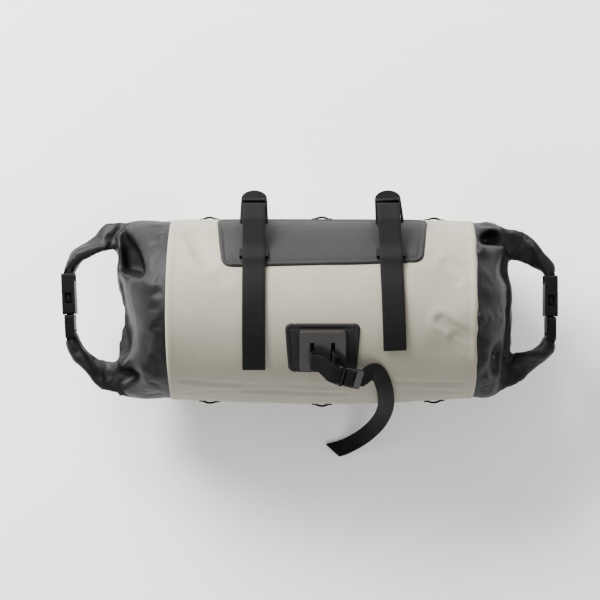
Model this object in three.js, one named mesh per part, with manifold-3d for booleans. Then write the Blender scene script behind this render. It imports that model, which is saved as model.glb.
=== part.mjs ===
// Bicycle handlebar bag: a light grey coated-cloth tube with a charcoal cap at each end. Each cap's
// mouth is rolled up, bent outwards and clipped to itself, so each end carries a D-shaped loop.
// Millimetres, +Z up. X runs along the bag, and the bag lies on its plain side with the mounting
// side up. Angles round the tube are in degrees, from +Y towards +Z, so 90 is the top of the tube.

import * as THREE from "three";
import Module from "manifold-3d";
import { mergeVertices } from "three/addons/utils/BufferGeometryUtils.js";

const wasm = await Module();
wasm.setup();

// Main tube
const bodyLength = 278;
const bodyDiameter = 170;
const settle = 8;
const settleBlend = 4;
const cloth = 1.5;
const gap = 0.3;

// End caps, rolled mouths and the loops that they make
const mouthReachLeft = 40;
const mouthReachRight = 28;
const mouthHeight = 9;
const rollWide = 25;
const rollThick = 8;
const armWide = 27;
const loopReachLeft = 100;
const loopReachRight = 78;

// Side-release buckles
const clipLength = 60;
const clipWide = 28;
const clipThick = 12;
const clipSocketLength = 38;
const clipWebWide = 20;
const clipWebThick = 1.5;
const clipBar = 3.5;
const clipBarThick = 4;
const clipSlot = 4.2;
const clipTilt = 2.5;

// Handlebar panel
const panelTopLength = 194;
const panelBottomLength = 182;
const panelTopAngle = 12;
const panelBottomAngleLeft = 62.5;
const panelBottomAngleRight = 58.8;
const panelThick = 1.2;
const panelCorner = 9;

// Handlebar straps and their round-topped ladder locks
const strapSpacing = 123.4;
const strapWide = 20;
const strapThick = 1.6;
const tailAngleLeft = 127;
const tailAngleRight = 113.6;
const strapLeanLeft = 0;
const strapLeanRight = 2.3;
const lockTopReach = 24;
const lockHeight = 53.5;
const lockLength = 32.4;
const lockWide = 23.6;
const lockFlare = 2;
const lockThick = 3.6;
const lockSlope = 24.5;
const lockTurnRight = 4;
const keeperAngle = 53.5;
const keeperWide = 26;
const keeperLong = 9;
const keeperBar = 1.6;

// Loop of a handlebar strap behind its lock: it leaves the panel this high above the tube's
// middle, and stops this far short of the lock's own reach
const loopRootHigh = 12.5;
const loopRootOut = 4.5;
const loopShort = 7;
const loopBend = 6;

// Small patch, moulded plate, head strap and its lock
const patchTopLength = 66.8;
const patchBottomLength = 61;
const patchTopAngle = 98.4;
const patchBottomAngle = 129.3;
const patchThick = 1;
const patchCorner = 6;
const plateLength = 41.7;
const plateHeight = 38;
const plateAngle = 112.7;
const plateSkin = 2.2;
const plateRecess = 2.6;
const plateCorner = 3;
const slotSpacing = 18.5;
const slotWide = 3.4;
const slotLong = 23.5;
const slotDrop = 3.4;
const headWide = 15;
const headThick = 1.4;
const headTailCut = 9.5;
const headLockLength = 24;
const headLockThick = 2.4;

// Lash loops and the small stud
const lashSpacing = 104;
const lashLength = 19;
const lashWide = 8;
const lashRise = 1.7;
const lashThick = 1.2;
const studDiameter = 6.5;
const studHeight = 2;

const bodyRadius = bodyDiameter / 2;
const axisHeight = bodyRadius - settle;
const skinLift = gap + 0.2;
const panelTop = skinLift + panelThick;
const patchTop = skinLift + patchThick;
const aroundCount = 40;
const alongCount = 11;

// Girth and sideways drift of the tube along its length, as shares of the radius
const bodySections = [
  { along: -0.5, girth: 0.970, drift: 0.016 },
  { along: -0.25, girth: 0.992, drift: 0.003 },
  { along: 0, girth: 1, drift: -0.006 },
  { along: 0.25, girth: 0.990, drift: 0 },
  { along: 0.5, girth: 0.958, drift: 0.016 },
];

// Soft dents of the tube: place and reach along it as shares of its length, depth of its radius
const bodyDents = [
  { along: -0.40, angle: 46, reachAlong: 0.13, reachAngle: 20, depth: 0.018 },
  { along: 0.41, angle: 74, reachAlong: 0.14, reachAngle: 22, depth: 0.020 },
  { along: 0.43, angle: 112, reachAlong: 0.13, reachAngle: 16, depth: 0.015 },
  { along: -0.20, angle: 147, reachAlong: 0.24, reachAngle: 13, depth: 0.012 },
  { along: 0.30, angle: 146, reachAlong: 0.22, reachAngle: 13, depth: 0.012 },
];

// Cap sections from the tube, 0, to the mouth, 1: half width across the bag and half depth
const capSectionsLeft = [
  { out: 0, high: 1, deep: 1 },
  { out: 0.25, high: 1, deep: 0.965 },
  { out: 0.5, high: 1, deep: 0.86 },
  { out: 0.75, high: 0.995, deep: 0.62 },
  { out: 0.9, high: 0.985, deep: 0.34 },
  { out: 1, high: 0.975, deep: 0 },
];
const capSectionsRight = [
  { out: 0, high: 1, deep: 1 },
  { out: 0.25, high: 1, deep: 0.96 },
  { out: 0.5, high: 0.995, deep: 0.85 },
  { out: 0.75, high: 0.975, deep: 0.62 },
  { out: 0.9, high: 0.95, deep: 0.34 },
  { out: 1, high: 0.93, deep: 0 },
];

// Places of the cap's rings between the tube and the mouth
const capRows = [0, 0.16, 0.32, 0.48, 0.62, 0.75, 0.86, 0.94, 1];

// Line of the mouth across the bag: up as a share of the radius, out as a share of the reach
const mouthLineLeft = [
  { up: -1, out: 1.12 }, { up: -0.62, out: 1.09 }, { up: -0.35, out: 0.88 }, { up: -0.12, out: 0.905 },
  { up: 0.12, out: 0.99 }, { up: 0.35, out: 1.10 }, { up: 0.62, out: 1.08 }, { up: 1, out: 1.12 },
];
const mouthLineRight = [
  { up: -1, out: 0.97 }, { up: -0.62, out: 0.98 }, { up: -0.35, out: 0.98 }, { up: 0, out: 1.02 },
  { up: 0.35, out: 1 }, { up: 0.62, out: 0.99 }, { up: 1, out: 1 },
];

// Pocket folds and creases of the caps, depth as a share of the tube's radius
const capDentsLeft = [
  { out: 0.80, angle: 50, reachOut: 0.5, reachAngle: 25, depth: 0.20 },
  { out: 0.86, angle: 141, reachOut: 0.4, reachAngle: 18, depth: 0.15 },
  { out: 0.78, angle: 312, reachOut: 0.45, reachAngle: 22, depth: 0.13 },
  { out: 0.80, angle: 225, reachOut: 0.4, reachAngle: 18, depth: 0.12 },
];
const capDentsRight = [
  { out: 0.60, angle: 33, reachOut: 0.5, reachAngle: 14, depth: 0.15 },
  { out: 0.70, angle: 123, reachOut: 0.35, reachAngle: 20, depth: 0.13 },
  { out: 0.45, angle: 93, reachOut: 0.4, reachAngle: 12, depth: 0.035 },
  { out: 0.70, angle: 318, reachOut: 0.45, reachAngle: 18, depth: 0.12 },
  { out: 0.70, angle: 228, reachOut: 0.4, reachAngle: 18, depth: 0.12 },
];

// Arms of the rolled mouths: out from the mouth to the loop's reach, beside from the buckle's end, 0,
// to the tube's edge, 1, width as a share of the arm's, and the turn from edge-on, 0, to face-on, 90
const armsLeft = {
  upper: [
    { out: 0, beside: 0.659, wide: 1, turn: 90 },
    { out: 0.20, beside: 0.659, wide: 1, turn: 76 },
    { out: 0.38, beside: 0.549, wide: 0.92, turn: 42 },
    { out: 0.60, beside: 0.421, wide: 0.80, turn: 24 },
    { out: 0.77, beside: 0.302, wide: 0.76, turn: 8 },
    { out: 0.86, beside: 0.148, wide: 0.74, turn: 0 },
  ],
  lower: [
    { out: 0, beside: 0.604, wide: 1, turn: 90 },
    { out: 0.26, beside: 0.562, wide: 1.02, turn: 78 },
    { out: 0.545, beside: 0.399, wide: 0.86, turn: 30 },
    { out: 0.73, beside: 0.25, wide: 0.78, turn: 8 },
    { out: 0.82, beside: 0.123, wide: 0.74, turn: 0 },
  ],
};
const armsRight = {
  upper: [
    { out: 0, beside: 0.543, wide: 1.04, turn: 90 },
    { out: 0.19, beside: 0.534, wide: 1.02, turn: 78 },
    { out: 0.40, beside: 0.428, wide: 0.92, turn: 44 },
    { out: 0.60, beside: 0.289, wide: 0.82, turn: 26 },
    { out: 0.77, beside: 0.183, wide: 0.76, turn: 8 },
    { out: 0.86, beside: 0.101, wide: 0.74, turn: 0 },
  ],
  lower: [
    { out: 0, beside: 0.494, wide: 1.18, turn: 90 },
    { out: 0.215, beside: 0.428, wide: 1.06, turn: 80 },
    { out: 0.50, beside: 0.311, wide: 0.92, turn: 46 },
    { out: 0.72, beside: 0.208, wide: 0.80, turn: 12 },
    { out: 0.85, beside: 0.098, wide: 0.74, turn: 0 },
  ],
};

// Free tail of the head strap, from its lock over the bag's side to the surface: chosen by hand.
// Shares of the tube's radius: across from the bag's middle, up and high from the tube's middle.
const headTailRoute = [
  { across: 0.4824, up: -0.6541, high: 0.9118 },
  { across: 0.5529, up: -0.6306, high: 0.8706 },
  { across: 0.6118, up: -0.6929, high: 0.7824 },
  { across: 0.6565, up: -0.8024, high: 0.6647 },
  { across: 0.6835, up: -0.9353, high: 0.4471 },
  { across: 0.6788, up: -1.0741, high: 0.1176 },
  { across: 0.6224, up: -1.2188, high: -0.2588 },
  { across: 0.5141, up: -1.3529, high: -0.5882 },
  { across: 0.38, up: -1.4588, high: -0.8059 },
  { across: 0.24, up: -1.5306, high: -0.8906 },
  { across: 0.1235, up: -1.5647, high: -0.8941 },
];

const finishes = {
  greyCloth: { color: 0xb9b5a9, roughness: 0.75 },
  charcoalCloth: { color: 0x3b3a3d, roughness: 0.55 },
  panelCloth: { color: 0x5d5c5b, roughness: 0.7 },
  darkPatch: { color: 0x3f3e40, roughness: 0.6 },
  webbing: { color: 0x2d2c2a, roughness: 0.85 },
  platePlastic: { color: 0x4a4843, roughness: 0.45 },
  bucklePlastic: { color: 0x1c1c1c, roughness: 0.3 },
};

const degree = Math.PI / 180;
const { clamp, lerp } = THREE.MathUtils;
const vector = (x, y, z) => new THREE.Vector3(x, y, z);
const alongX = vector(1, 0, 0);
const upZ = vector(0, 0, 1);

const bag = new THREE.Group();

function addPiece(name, geometry, finish) {
  const material = new THREE.MeshStandardMaterial({ metalness: 0, ...finishes[finish] });
  const mesh = new THREE.Mesh(geometry, material);
  mesh.name = name;
  bag.add(mesh);
  return mesh;
}

// A smooth value read from a table of rows at a place between them
function readTable(rows, place, at, column) {
  const last = rows.length - 1;
  let i = 0;
  while (i < last - 1 && at > rows[i + 1][place]) i += 1;
  const [before, a, b, after] = [rows[Math.max(i - 1, 0)], rows[i], rows[i + 1], rows[Math.min(i + 2, last)]];
  const span = b[place] - a[place];
  const t = clamp((at - a[place]) / span, 0, 1);
  const slopeA = ((b[column] - before[column]) / (b[place] - before[place])) * span;
  const slopeB = ((after[column] - a[column]) / (after[place] - a[place])) * span;
  const [t2, t3] = [t * t, t * t * t];
  return (2 * t3 - 3 * t2 + 1) * a[column] + (t3 - 2 * t2 + t) * slopeA
    + (3 * t2 - 2 * t3) * b[column] + (t3 - t2) * slopeB;
}

function smoothMax(value, floor, blend) {
  const share = clamp(0.5 + (0.5 * (value - floor)) / blend, 0, 1);
  return lerp(floor, value, share) + blend * share * (1 - share);
}

// Smooth bump of height 1 that ends at distance 1
function bump(distance) {
  return distance < 1 ? (1 - distance * distance) ** 2 : 0;
}

function angleBetween(a, b) {
  return ((((a - b) % 360) + 540) % 360) - 180;
}

function geometryFrom(points, faces) {
  let volume = 0;
  for (const [a, b, c] of faces) volume += points[a].dot(points[b].clone().cross(points[c]));
  const index = faces.flatMap(([a, b, c]) => (volume > 0 ? [a, b, c] : [a, c, b]));
  const geometry = new THREE.BufferGeometry();
  geometry.setAttribute("position", new THREE.Float32BufferAttribute(points.flatMap((p) => p.toArray()), 3));
  geometry.setIndex(index);
  return geometry;
}

function quad(faces, a, b, c, d) {
  faces.push([a, b, c], [a, c, d]);
}

// A wall between two grids of points. A closed wall goes right round and is open at both ends.
function wallBetween(outer, inner, closed) {
  const [rows, columns] = [outer.length, outer[0].length];
  const points = [...outer.flat(), ...inner.flat()];
  const out = (i, j) => i * columns + (j % columns);
  const into = (i, j) => rows * columns + out(i, j);
  const faces = [];
  const steps = closed ? columns : columns - 1;
  for (let j = 0; j < steps; j += 1) {
    for (let i = 0; i < rows - 1; i += 1) {
      quad(faces, out(i, j), out(i, j + 1), out(i + 1, j + 1), out(i + 1, j));
      quad(faces, into(i, j), into(i + 1, j), into(i + 1, j + 1), into(i, j + 1));
    }
    quad(faces, out(0, j + 1), out(0, j), into(0, j), into(0, j + 1));
    quad(faces, out(rows - 1, j), out(rows - 1, j + 1), into(rows - 1, j + 1), into(rows - 1, j));
  }
  if (!closed) {
    const end = columns - 1;
    for (let i = 0; i < rows - 1; i += 1) {
      quad(faces, out(i, 0), out(i + 1, 0), into(i + 1, 0), into(i, 0));
      quad(faces, out(i + 1, end), out(i, end), into(i, end), into(i + 1, end));
    }
  }
  return geometryFrom(points, faces);
}

// A solid lofted through closed rings, with a flat fan at each end
function loftRings(rings) {
  const count = rings[0].length;
  const points = rings.flat();
  const faces = [];
  for (let i = 0; i < rings.length - 1; i += 1) {
    for (let j = 0; j < count; j += 1) {
      const next = (j + 1) % count;
      quad(faces, i * count + j, i * count + next, (i + 1) * count + next, (i + 1) * count + j);
    }
  }
  for (const [ring, flip] of [[0, true], [rings.length - 1, false]]) {
    const middle = rings[ring].reduce((sum, p) => sum.add(p), vector(0, 0, 0)).divideScalar(count);
    points.push(middle);
    for (let j = 0; j < count; j += 1) {
      const [a, b] = [ring * count + j, ring * count + ((j + 1) % count)];
      faces.push(flip ? [points.length - 1, b, a] : [points.length - 1, a, b]);
    }
  }
  return geometryFrom(points, faces);
}

function toManifold(geometry) {
  const bare = geometry.clone();
  bare.deleteAttribute("normal");
  bare.deleteAttribute("uv");
  const merged = mergeVertices(bare);
  const vertProperties = new Float32Array(merged.attributes.position.array);
  const triVerts = new Uint32Array(merged.index.array);
  return new wasm.Manifold(new wasm.Mesh({ numProp: 3, vertProperties, triVerts }));
}

function toGeometry(solid) {
  const { vertProperties, triVerts } = solid.getMesh();
  const geometry = new THREE.BufferGeometry();
  geometry.setAttribute("position", new THREE.BufferAttribute(new Float32Array(vertProperties), 3));
  geometry.setIndex(new THREE.BufferAttribute(new Uint32Array(triVerts), 1));
  return geometry;
}

function cutAway(geometry, ...tools) {
  return toGeometry(tools.reduce((solid, tool) => solid.subtract(toManifold(tool)), toManifold(geometry)));
}

function joinTo(geometry, ...others) {
  return toGeometry(others.reduce((solid, other) => solid.add(toManifold(other)), toManifold(geometry)));
}

function boxAt(sizeX, sizeY, sizeZ, x, y, z) {
  return new THREE.BoxGeometry(sizeX, sizeY, sizeZ).translate(x, y, z);
}

// Outline of a four-sided plate with round corners, wider or narrower at its low end
function roundedShape(topWide, bottomWide, low, high, corner) {
  const [t, b] = [topWide / 2, bottomWide / 2];
  const shape = new THREE.Shape();
  shape.moveTo(-b + corner, low);
  shape.lineTo(b - corner, low);
  shape.quadraticCurveTo(b, low, b, low + corner);
  shape.lineTo(t, high - corner);
  shape.quadraticCurveTo(t, high, t - corner, high);
  shape.lineTo(-t + corner, high);
  shape.quadraticCurveTo(-t, high, -t, high - corner);
  shape.lineTo(-b, low + corner);
  shape.quadraticCurveTo(-b, low, -b + corner, low);
  return shape;
}

function slotHole(wide, low, high) {
  const hole = new THREE.Path();
  hole.moveTo(-wide / 2, low);
  hole.lineTo(-wide / 2, high);
  hole.lineTo(wide / 2, high);
  hole.lineTo(wide / 2, low);
  hole.closePath();
  return hole;
}

// A flat plate, centred on its own middle plane
function flatPlate(shape, thick, curveSegments) {
  const options = { depth: thick, bevelEnabled: false, curveSegments };
  return new THREE.ExtrudeGeometry(shape, options).translate(0, 0, -thick / 2);
}

// A path through corners, each rounded over by its own radius. Rows carry the width direction.
function roundedPath(corners, arcSteps) {
  const path = [];
  corners.forEach((corner, i) => {
    if (i === 0 || i === corners.length - 1 || !corner.radius) {
      path.push({ point: corner.point.clone(), across: corner.across.clone() });
      return;
    }
    const back = corners[i - 1].point.clone().sub(corner.point);
    const ahead = corners[i + 1].point.clone().sub(corner.point);
    const turn = Math.PI - back.angleTo(ahead);
    const reach = Math.min(corner.radius * Math.tan(turn / 2), 0.48 * back.length(), 0.48 * ahead.length());
    const start = corner.point.clone().addScaledVector(back.normalize(), reach);
    const end = corner.point.clone().addScaledVector(ahead.normalize(), reach);
    const bend = new THREE.QuadraticBezierCurve3(start, corner.point, end);
    const steps = corner.radius < 12 ? arcSteps : arcSteps - 1;
    bend.getPoints(steps).forEach((point) => path.push({ point, across: corner.across.clone() }));
  });
  return path;
}

// A flat strap along a path, with its far end cut on the slant where the real one is
function webbing(path, wide, thick, slant = 0) {
  const faces = { top: [], bottom: [] };
  path.forEach(({ point, across }, i) => {
    const before = path[Math.max(i - 1, 0)].point;
    const after = path[Math.min(i + 1, path.length - 1)].point;
    const ahead = after.clone().sub(before).normalize();
    const side = across.clone().addScaledVector(ahead, -across.dot(ahead)).normalize();
    const face = ahead.clone().cross(side).normalize();
    const skew = i === path.length - 1 ? slant / 2 : 0;
    for (const [key, sign] of [["top", 1], ["bottom", -1]]) {
      faces[key].push([1, -1].map((edge) => point.clone()
        .addScaledVector(side, (edge * wide) / 2)
        .addScaledVector(face, (sign * thick) / 2)
        .addScaledVector(ahead, -edge * skew)));
    }
  });
  return wallBetween(faces.top, faces.bottom, false);
}

// A point on the tube, lifted off its outer face
function bodyPoint(x, angle, lift) {
  const along = x / bodyLength;
  const girth = readTable(bodySections, "along", along, "girth");
  const drift = readTable(bodySections, "along", along, "drift");
  let radius = bodyRadius * girth + lift;
  for (const dent of bodyDents) {
    const away = Math.hypot(
      (along - dent.along) / dent.reachAlong,
      angleBetween(angle, dent.angle) / dent.reachAngle,
    );
    radius -= bodyRadius * dent.depth * bump(away);
  }
  const y = bodyRadius * drift + radius * Math.cos(angle * degree);
  const z = axisHeight + radius * Math.sin(angle * degree);
  return vector(x, y, smoothMax(z, -lift, settleBlend));
}

// The direction out of the tube's round section
function outOfBody(angle) {
  return vector(0, Math.cos(angle * degree), Math.sin(angle * degree));
}

function roundTheTube(point) {
  return Array.from({ length: aroundCount }, (unused, j) => point((j * 360) / aroundCount));
}

function addBody() {
  const grid = (lift) => Array.from({ length: alongCount + 1 }, (unused, i) => {
    const x = bodyLength * (i / alongCount - 0.5);
    return roundTheTube((angle) => bodyPoint(x, angle, lift));
  });
  addPiece("body_tube", wallBetween(grid(0), grid(-cloth), true), "greyCloth");
}

// A cloth patch that follows the tube, with straight rows along it and round corners
function bodyPatch({ topLength, bottomLength, topAngle, bottomAngleAt, corner, thick }) {
  const columns = 8;
  const bottomMiddle = bottomAngleAt(0);
  const arc = (bottomMiddle - topAngle) * degree * bodyRadius;
  const near = [0, 0.12, 0.45, 1].map((share) => (share * corner) / arc);
  const between = [0.25, 0.375, 0.5, 0.625, 0.75];
  const rows = [...near, ...between, ...near.map((share) => 1 - share).reverse()];
  const grid = (lift) => rows.map((share) => {
    const edge = Math.min(share, 1 - share) * arc;
    const inset = edge < corner ? corner - Math.sqrt(corner ** 2 - (corner - edge) ** 2) : 0;
    const half = lerp(topLength, bottomLength, share) / 2 - inset;
    return Array.from({ length: columns + 1 }, (unused, j) => {
      const x = half * ((2 * j) / columns - 1);
      return bodyPoint(x, lerp(topAngle, bottomAngleAt(x), share), lift);
    });
  });
  return wallBetween(grid(skinLift + thick), grid(skinLift), false);
}

function addPanels() {
  addPiece("handlebar_panel", bodyPatch({
    topLength: panelTopLength,
    bottomLength: panelBottomLength,
    topAngle: panelTopAngle,
    bottomAngleAt: (x) => lerp(panelBottomAngleLeft, panelBottomAngleRight, x / panelBottomLength + 0.5),
    corner: panelCorner,
    thick: panelThick,
  }), "panelCloth");
  addPiece("anchor_patch", bodyPatch({
    topLength: patchTopLength,
    bottomLength: patchBottomLength,
    topAngle: patchTopAngle,
    bottomAngleAt: () => patchBottomAngle,
    corner: patchCorner,
    thick: patchThick,
  }), "darkPatch");
}

// Everything that differs between the two ends
const ends = {
  left: {
    side: -1,
    reach: mouthReachLeft,
    loop: loopReachLeft,
    sections: capSectionsLeft,
    mouth: mouthLineLeft,
    dents: capDentsLeft,
    arms: armsLeft,
    end: bodySections[0],
    clipUp: 0.06,
    clipTilt,
  },
  right: {
    side: 1,
    reach: mouthReachRight,
    loop: loopReachRight,
    sections: capSectionsRight,
    mouth: mouthLineRight,
    dents: capDentsRight,
    arms: armsRight,
    end: bodySections[bodySections.length - 1],
    clipUp: 0.035,
    clipTilt: 0,
  },
};

// How far the mouth lies out from the tube's end, at a place across the bag
function mouthOut(end, y) {
  return end.reach * readTable(end.mouth, "up", clamp(y / bodyRadius, -1, 1), "out");
}

function capPoint(end, out, angle) {
  const radius = bodyRadius * end.end.girth;
  const drift = bodyRadius * end.end.drift;
  const mouthHalf = mouthHeight / 2;
  const high = radius * readTable(end.sections, "out", out, "high");
  const deep = mouthHalf + (radius - mouthHalf) * readTable(end.sections, "out", out, "deep");
  const y = drift + high * Math.cos(angle * degree);
  const z = axisHeight + deep * Math.sin(angle * degree);
  const x = end.side * (bodyLength / 2 + gap + out * (mouthOut(end, y) - gap));
  const point = vector(x, y, smoothMax(z, 0, settleBlend));
  const inward = vector(end.side * (bodyLength / 2), drift, axisHeight).sub(point).normalize();
  for (const dent of end.dents) {
    const away = Math.hypot(
      (out - dent.out) / dent.reachOut,
      angleBetween(angle, dent.angle) / dent.reachAngle,
    );
    const keepEnds = Math.min(1, (1 - out) / 0.12, out / 0.12);
    point.addScaledVector(inward, bodyRadius * dent.depth * bump(away) * keepEnds);
  }
  return point;
}

// A point on the cap's inner face, one cloth thickness in from the outer one
function capInnerPoint(end, out, angle) {
  const point = capPoint(end, out, angle);
  const step = 0.01;
  const [back, ahead] = [Math.max(out - step, 0), Math.min(out + step, 1)];
  const outward = capPoint(end, ahead, angle).sub(capPoint(end, back, angle));
  const round = capPoint(end, out, angle + 1).sub(capPoint(end, out, angle - 1));
  const normal = round.cross(outward).normalize();
  if (out === 0 || out === 1) normal.setX(0).normalize();
  if (normal.dot(vector(0, point.y, point.z - axisHeight)) < 0) normal.negate();
  return point.addScaledVector(normal, -cloth);
}

function addCap(name, end) {
  const outer = capRows.map((out) => roundTheTube((angle) => capPoint(end, out, angle)));
  const inner = capRows.map((out) => roundTheTube((angle) => capInnerPoint(end, out, angle)));
  addPiece(`end_cap_${name}`, wallBetween(outer, inner, true), "charcoalCloth");
}

// Ring of a wound bundle of cloth, a rounded flat section
function bundleRing(middle, ahead, wide, thick, turn) {
  const flat = vector(-ahead.y, ahead.x, 0).normalize();
  const wideWay = upZ.clone().multiplyScalar(Math.cos(turn)).addScaledVector(flat, Math.sin(turn));
  const thinWay = wideWay.clone().cross(ahead).normalize();
  const sides = 12;
  return Array.from({ length: sides }, (unused, j) => {
    const [c, s] = [Math.cos((2 * Math.PI * (j + 0.5)) / sides), Math.sin((2 * Math.PI * (j + 0.5)) / sides)];
    const [w, t] = [c, s].map((value) => Math.sign(value) * Math.abs(value) ** 0.6);
    return middle.clone().addScaledVector(wideWay, (w * wide) / 2).addScaledVector(thinWay, (t * thick) / 2);
  });
}

// The plane where the arms leave the mouth
function armRoot(end) {
  return end.reach * Math.max(...end.mouth.map((row) => row.out)) + gap;
}

function armMiddle(end, which, row) {
  const root = armRoot(end);
  const out = root + row.out * (end.loop - root);
  const sign = which === "upper" ? 1 : -1;
  const clipEnd = bodyRadius * end.clipUp + (sign * clipLength) / 2;
  const y = lerp(clipEnd, sign * bodyRadius, row.beside);
  return vector(end.side * (bodyLength / 2 + out), y, axisHeight);
}

function addArm(name, end, which) {
  const count = 9;
  const rows = end.arms[which];
  const far = rows[rows.length - 1].out;
  const rowAt = (share) => {
    const out = far * share;
    const read = (column) => readTable(rows, "out", out, column);
    return { out, beside: read("beside"), wide: read("wide"), turn: read("turn") };
  };
  const rings = Array.from({ length: count + 1 }, (unused, i) => {
    const row = rowAt(i / count);
    const [back, next] = [rowAt(Math.max(i - 0.5, 0) / count), rowAt(Math.min(i + 0.5, count) / count)];
    const ahead = armMiddle(end, which, next).sub(armMiddle(end, which, back)).normalize();
    if (i === 0) ahead.set(end.side, 0, 0);
    return bundleRing(armMiddle(end, which, row), ahead, armWide * row.wide, rollThick, row.turn * degree);
  });
  addPiece(name, loftRings(rings), "charcoalCloth");
}

// The rolled mouth between the arms, seen edge-on
function addRoll(name, end) {
  const inner = (which, sign) => end.arms[which].slice(0, 2).map((row) => (
    armMiddle(end, which, row).y + (sign * armWide * row.wide) / 2));
  const low = Math.max(...inner("lower", 1)) + gap;
  const high = Math.min(...inner("upper", -1)) - gap;
  const count = 8;
  const middleAt = (share) => {
    const y = lerp(low, high, share);
    const out = mouthOut(end, y) + 2 * gap + rollThick / 2;
    return vector(end.side * (bodyLength / 2 + out), y, axisHeight);
  };
  const rings = Array.from({ length: count + 1 }, (unused, i) => {
    const [back, next] = [Math.max(i - 0.5, 0), Math.min(i + 0.5, count)];
    const ahead = middleAt(next / count).sub(middleAt(back / count)).normalize();
    if (i === 0 || i === count) ahead.set(0, 1, 0);
    return bundleRing(middleAt(i / count), ahead, rollWide, rollThick, 0);
  });
  addPiece(name, loftRings(rings), "charcoalCloth");
}

function clipMiddle(end) {
  const out = end.loop - clipThick / 2;
  return vector(end.side * (bodyLength / 2 + out), bodyRadius * end.clipUp, axisHeight);
}

// Stands a plate that was drawn flat on its edge: its width upright, its length across the bag
function standUpright(geometry) {
  return geometry.applyMatrix4(new THREE.Matrix4().makeBasis(upZ, vector(0, 1, 0), vector(-1, 0, 0)));
}

function placeClipPart(name, end, geometry) {
  const mesh = addPiece(name, standUpright(geometry), "bucklePlastic");
  mesh.position.copy(clipMiddle(end));
  mesh.rotation.z = end.clipTilt * degree;
}

// Recesses that leave the buckle's webbing bar thinner than its rails
function clipBarRecesses(barLow, barHigh, thick) {
  const deep = (thick - clipBarThick) / 2;
  const long = barHigh - barLow;
  return [-1, 1].map((face) => boxAt(clipWebWide + 1, long, deep * 2, 0, (barLow + barHigh) / 2,
    face * (clipBarThick / 2 + deep)));
}

// The buckle's socket: a flat hollow box with a window in each side and a webbing bar at its end
function clipSocket() {
  const [top, low] = [clipLength / 2, clipLength / 2 - clipSocketLength];
  const shape = roundedShape(clipWide - 3, clipWide, low, top, 3);
  const slotTop = top - clipBar;
  shape.holes.push(slotHole(clipWebWide + 1, slotTop - clipSlot, slotTop));
  const cavityDeep = clipSocketLength - clipBar - clipSlot - 4;
  const cavity = boxAt(clipWide - 5, cavityDeep, clipThick - 5, 0, low + cavityDeep / 2 - gap, 0);
  const windowLong = 10;
  const windows = [-1, 1].map((side) => (
    boxAt(6, windowLong, clipThick - 6, side * (clipWide / 2), low + 15, 0)));
  const recesses = clipBarRecesses(slotTop - clipSlot, top + clipBar, clipThick);
  return cutAway(flatPlate(shape, clipThick, 3), cavity, ...windows, ...recesses);
}

// The buckle's plug: a base with a webbing bar, two springy prongs and a middle guide
function clipPlug() {
  const low = -clipLength / 2;
  const top = clipLength / 2 - clipSocketLength - gap;
  const shape = roundedShape(clipWide - 1, clipWide - 3, low, top, 3);
  const slotLow = low + clipBar;
  shape.holes.push(slotHole(clipWebWide + 1, slotLow, slotLow + clipSlot));
  const prongLong = 21;
  const thick = clipThick - 7;
  const sunk = 1;
  const reach = prongLong + sunk;
  const middle = top + reach / 2 - sunk;
  const prongs = [-1, 1].map((side) => boxAt(3.6, reach, thick, side * (clipWide / 2 - 5.4), middle, 0));
  const heads = [-1, 1].map((side) => boxAt(2.4, 6, thick - 1.6, side * (clipWide / 2 - 3.4), top + 15, 0));
  const guide = boxAt(3.4, reach - 4, thick, 0, middle - 2, 0);
  const recesses = clipBarRecesses(low - clipBar, slotLow + clipSlot, clipThick);
  const base = cutAway(flatPlate(shape, clipThick - 3, 3), ...recesses);
  return joinTo(base, ...prongs, ...heads, guide);
}

// Webbing that leaves an arm's tip, turns round the buckle's end bar and comes back
function addClipWeb(name, end, which) {
  const sign = which === "upper" ? 1 : -1;
  const rows = end.arms[which];
  const tip = armMiddle(end, which, rows[rows.length - 1]);
  const ahead = tip.clone().sub(armMiddle(end, which, rows[rows.length - 2])).normalize();
  const turned = new THREE.Matrix4().makeRotationZ(end.clipTilt * degree);
  const local = (x, y) => vector(x, y, 0).applyMatrix4(turned).add(clipMiddle(end));
  const barEnd = sign * (clipLength / 2);
  const slotMiddle = barEnd - sign * (clipBar + clipSlot / 2);
  const faceX = clipBarThick / 2 + gap + clipWebThick / 2;
  const start = tip.clone().addScaledVector(ahead, gap + clipWebThick / 2);
  const beside = vector(-ahead.y, ahead.x, 0).multiplyScalar(sign * (clipWebThick / 2 + gap / 2));
  const corner = (point, radius) => ({ point, radius, across: upZ });
  const path = roundedPath([
    corner(start.clone().add(beside)),
    corner(local(faceX, barEnd + sign), 3),
    corner(local(faceX, slotMiddle), 1.6),
    corner(local(-faceX, slotMiddle), 1.6),
    corner(local(-faceX, barEnd + sign), 3),
    corner(start.clone().sub(beside)),
  ], 3);
  addPiece(name, webbing(path, clipWebWide, clipWebThick), "webbing");
}

function addEnd(name, end) {
  addCap(name, end);
  addRoll(`roll_${name}`, end);
  for (const which of ["upper", "lower"]) {
    addArm(`roll_arm_${name}_${which}`, end, which);
    addClipWeb(`clip_web_${name}_${which}`, end, which);
  }
  placeClipPart(`clip_socket_${name}`, end, clipSocket());
  placeClipPart(`clip_plug_${name}`, end, clipPlug());
}

// The two handlebar straps
const strapKinds = {
  left: { middle: -strapSpacing / 2, lean: strapLeanLeft, tail: tailAngleLeft, lockTurn: 0 },
  right: { middle: strapSpacing / 2, lean: strapLeanRight, tail: tailAngleRight, lockTurn: lockTurnRight },
};

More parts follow.
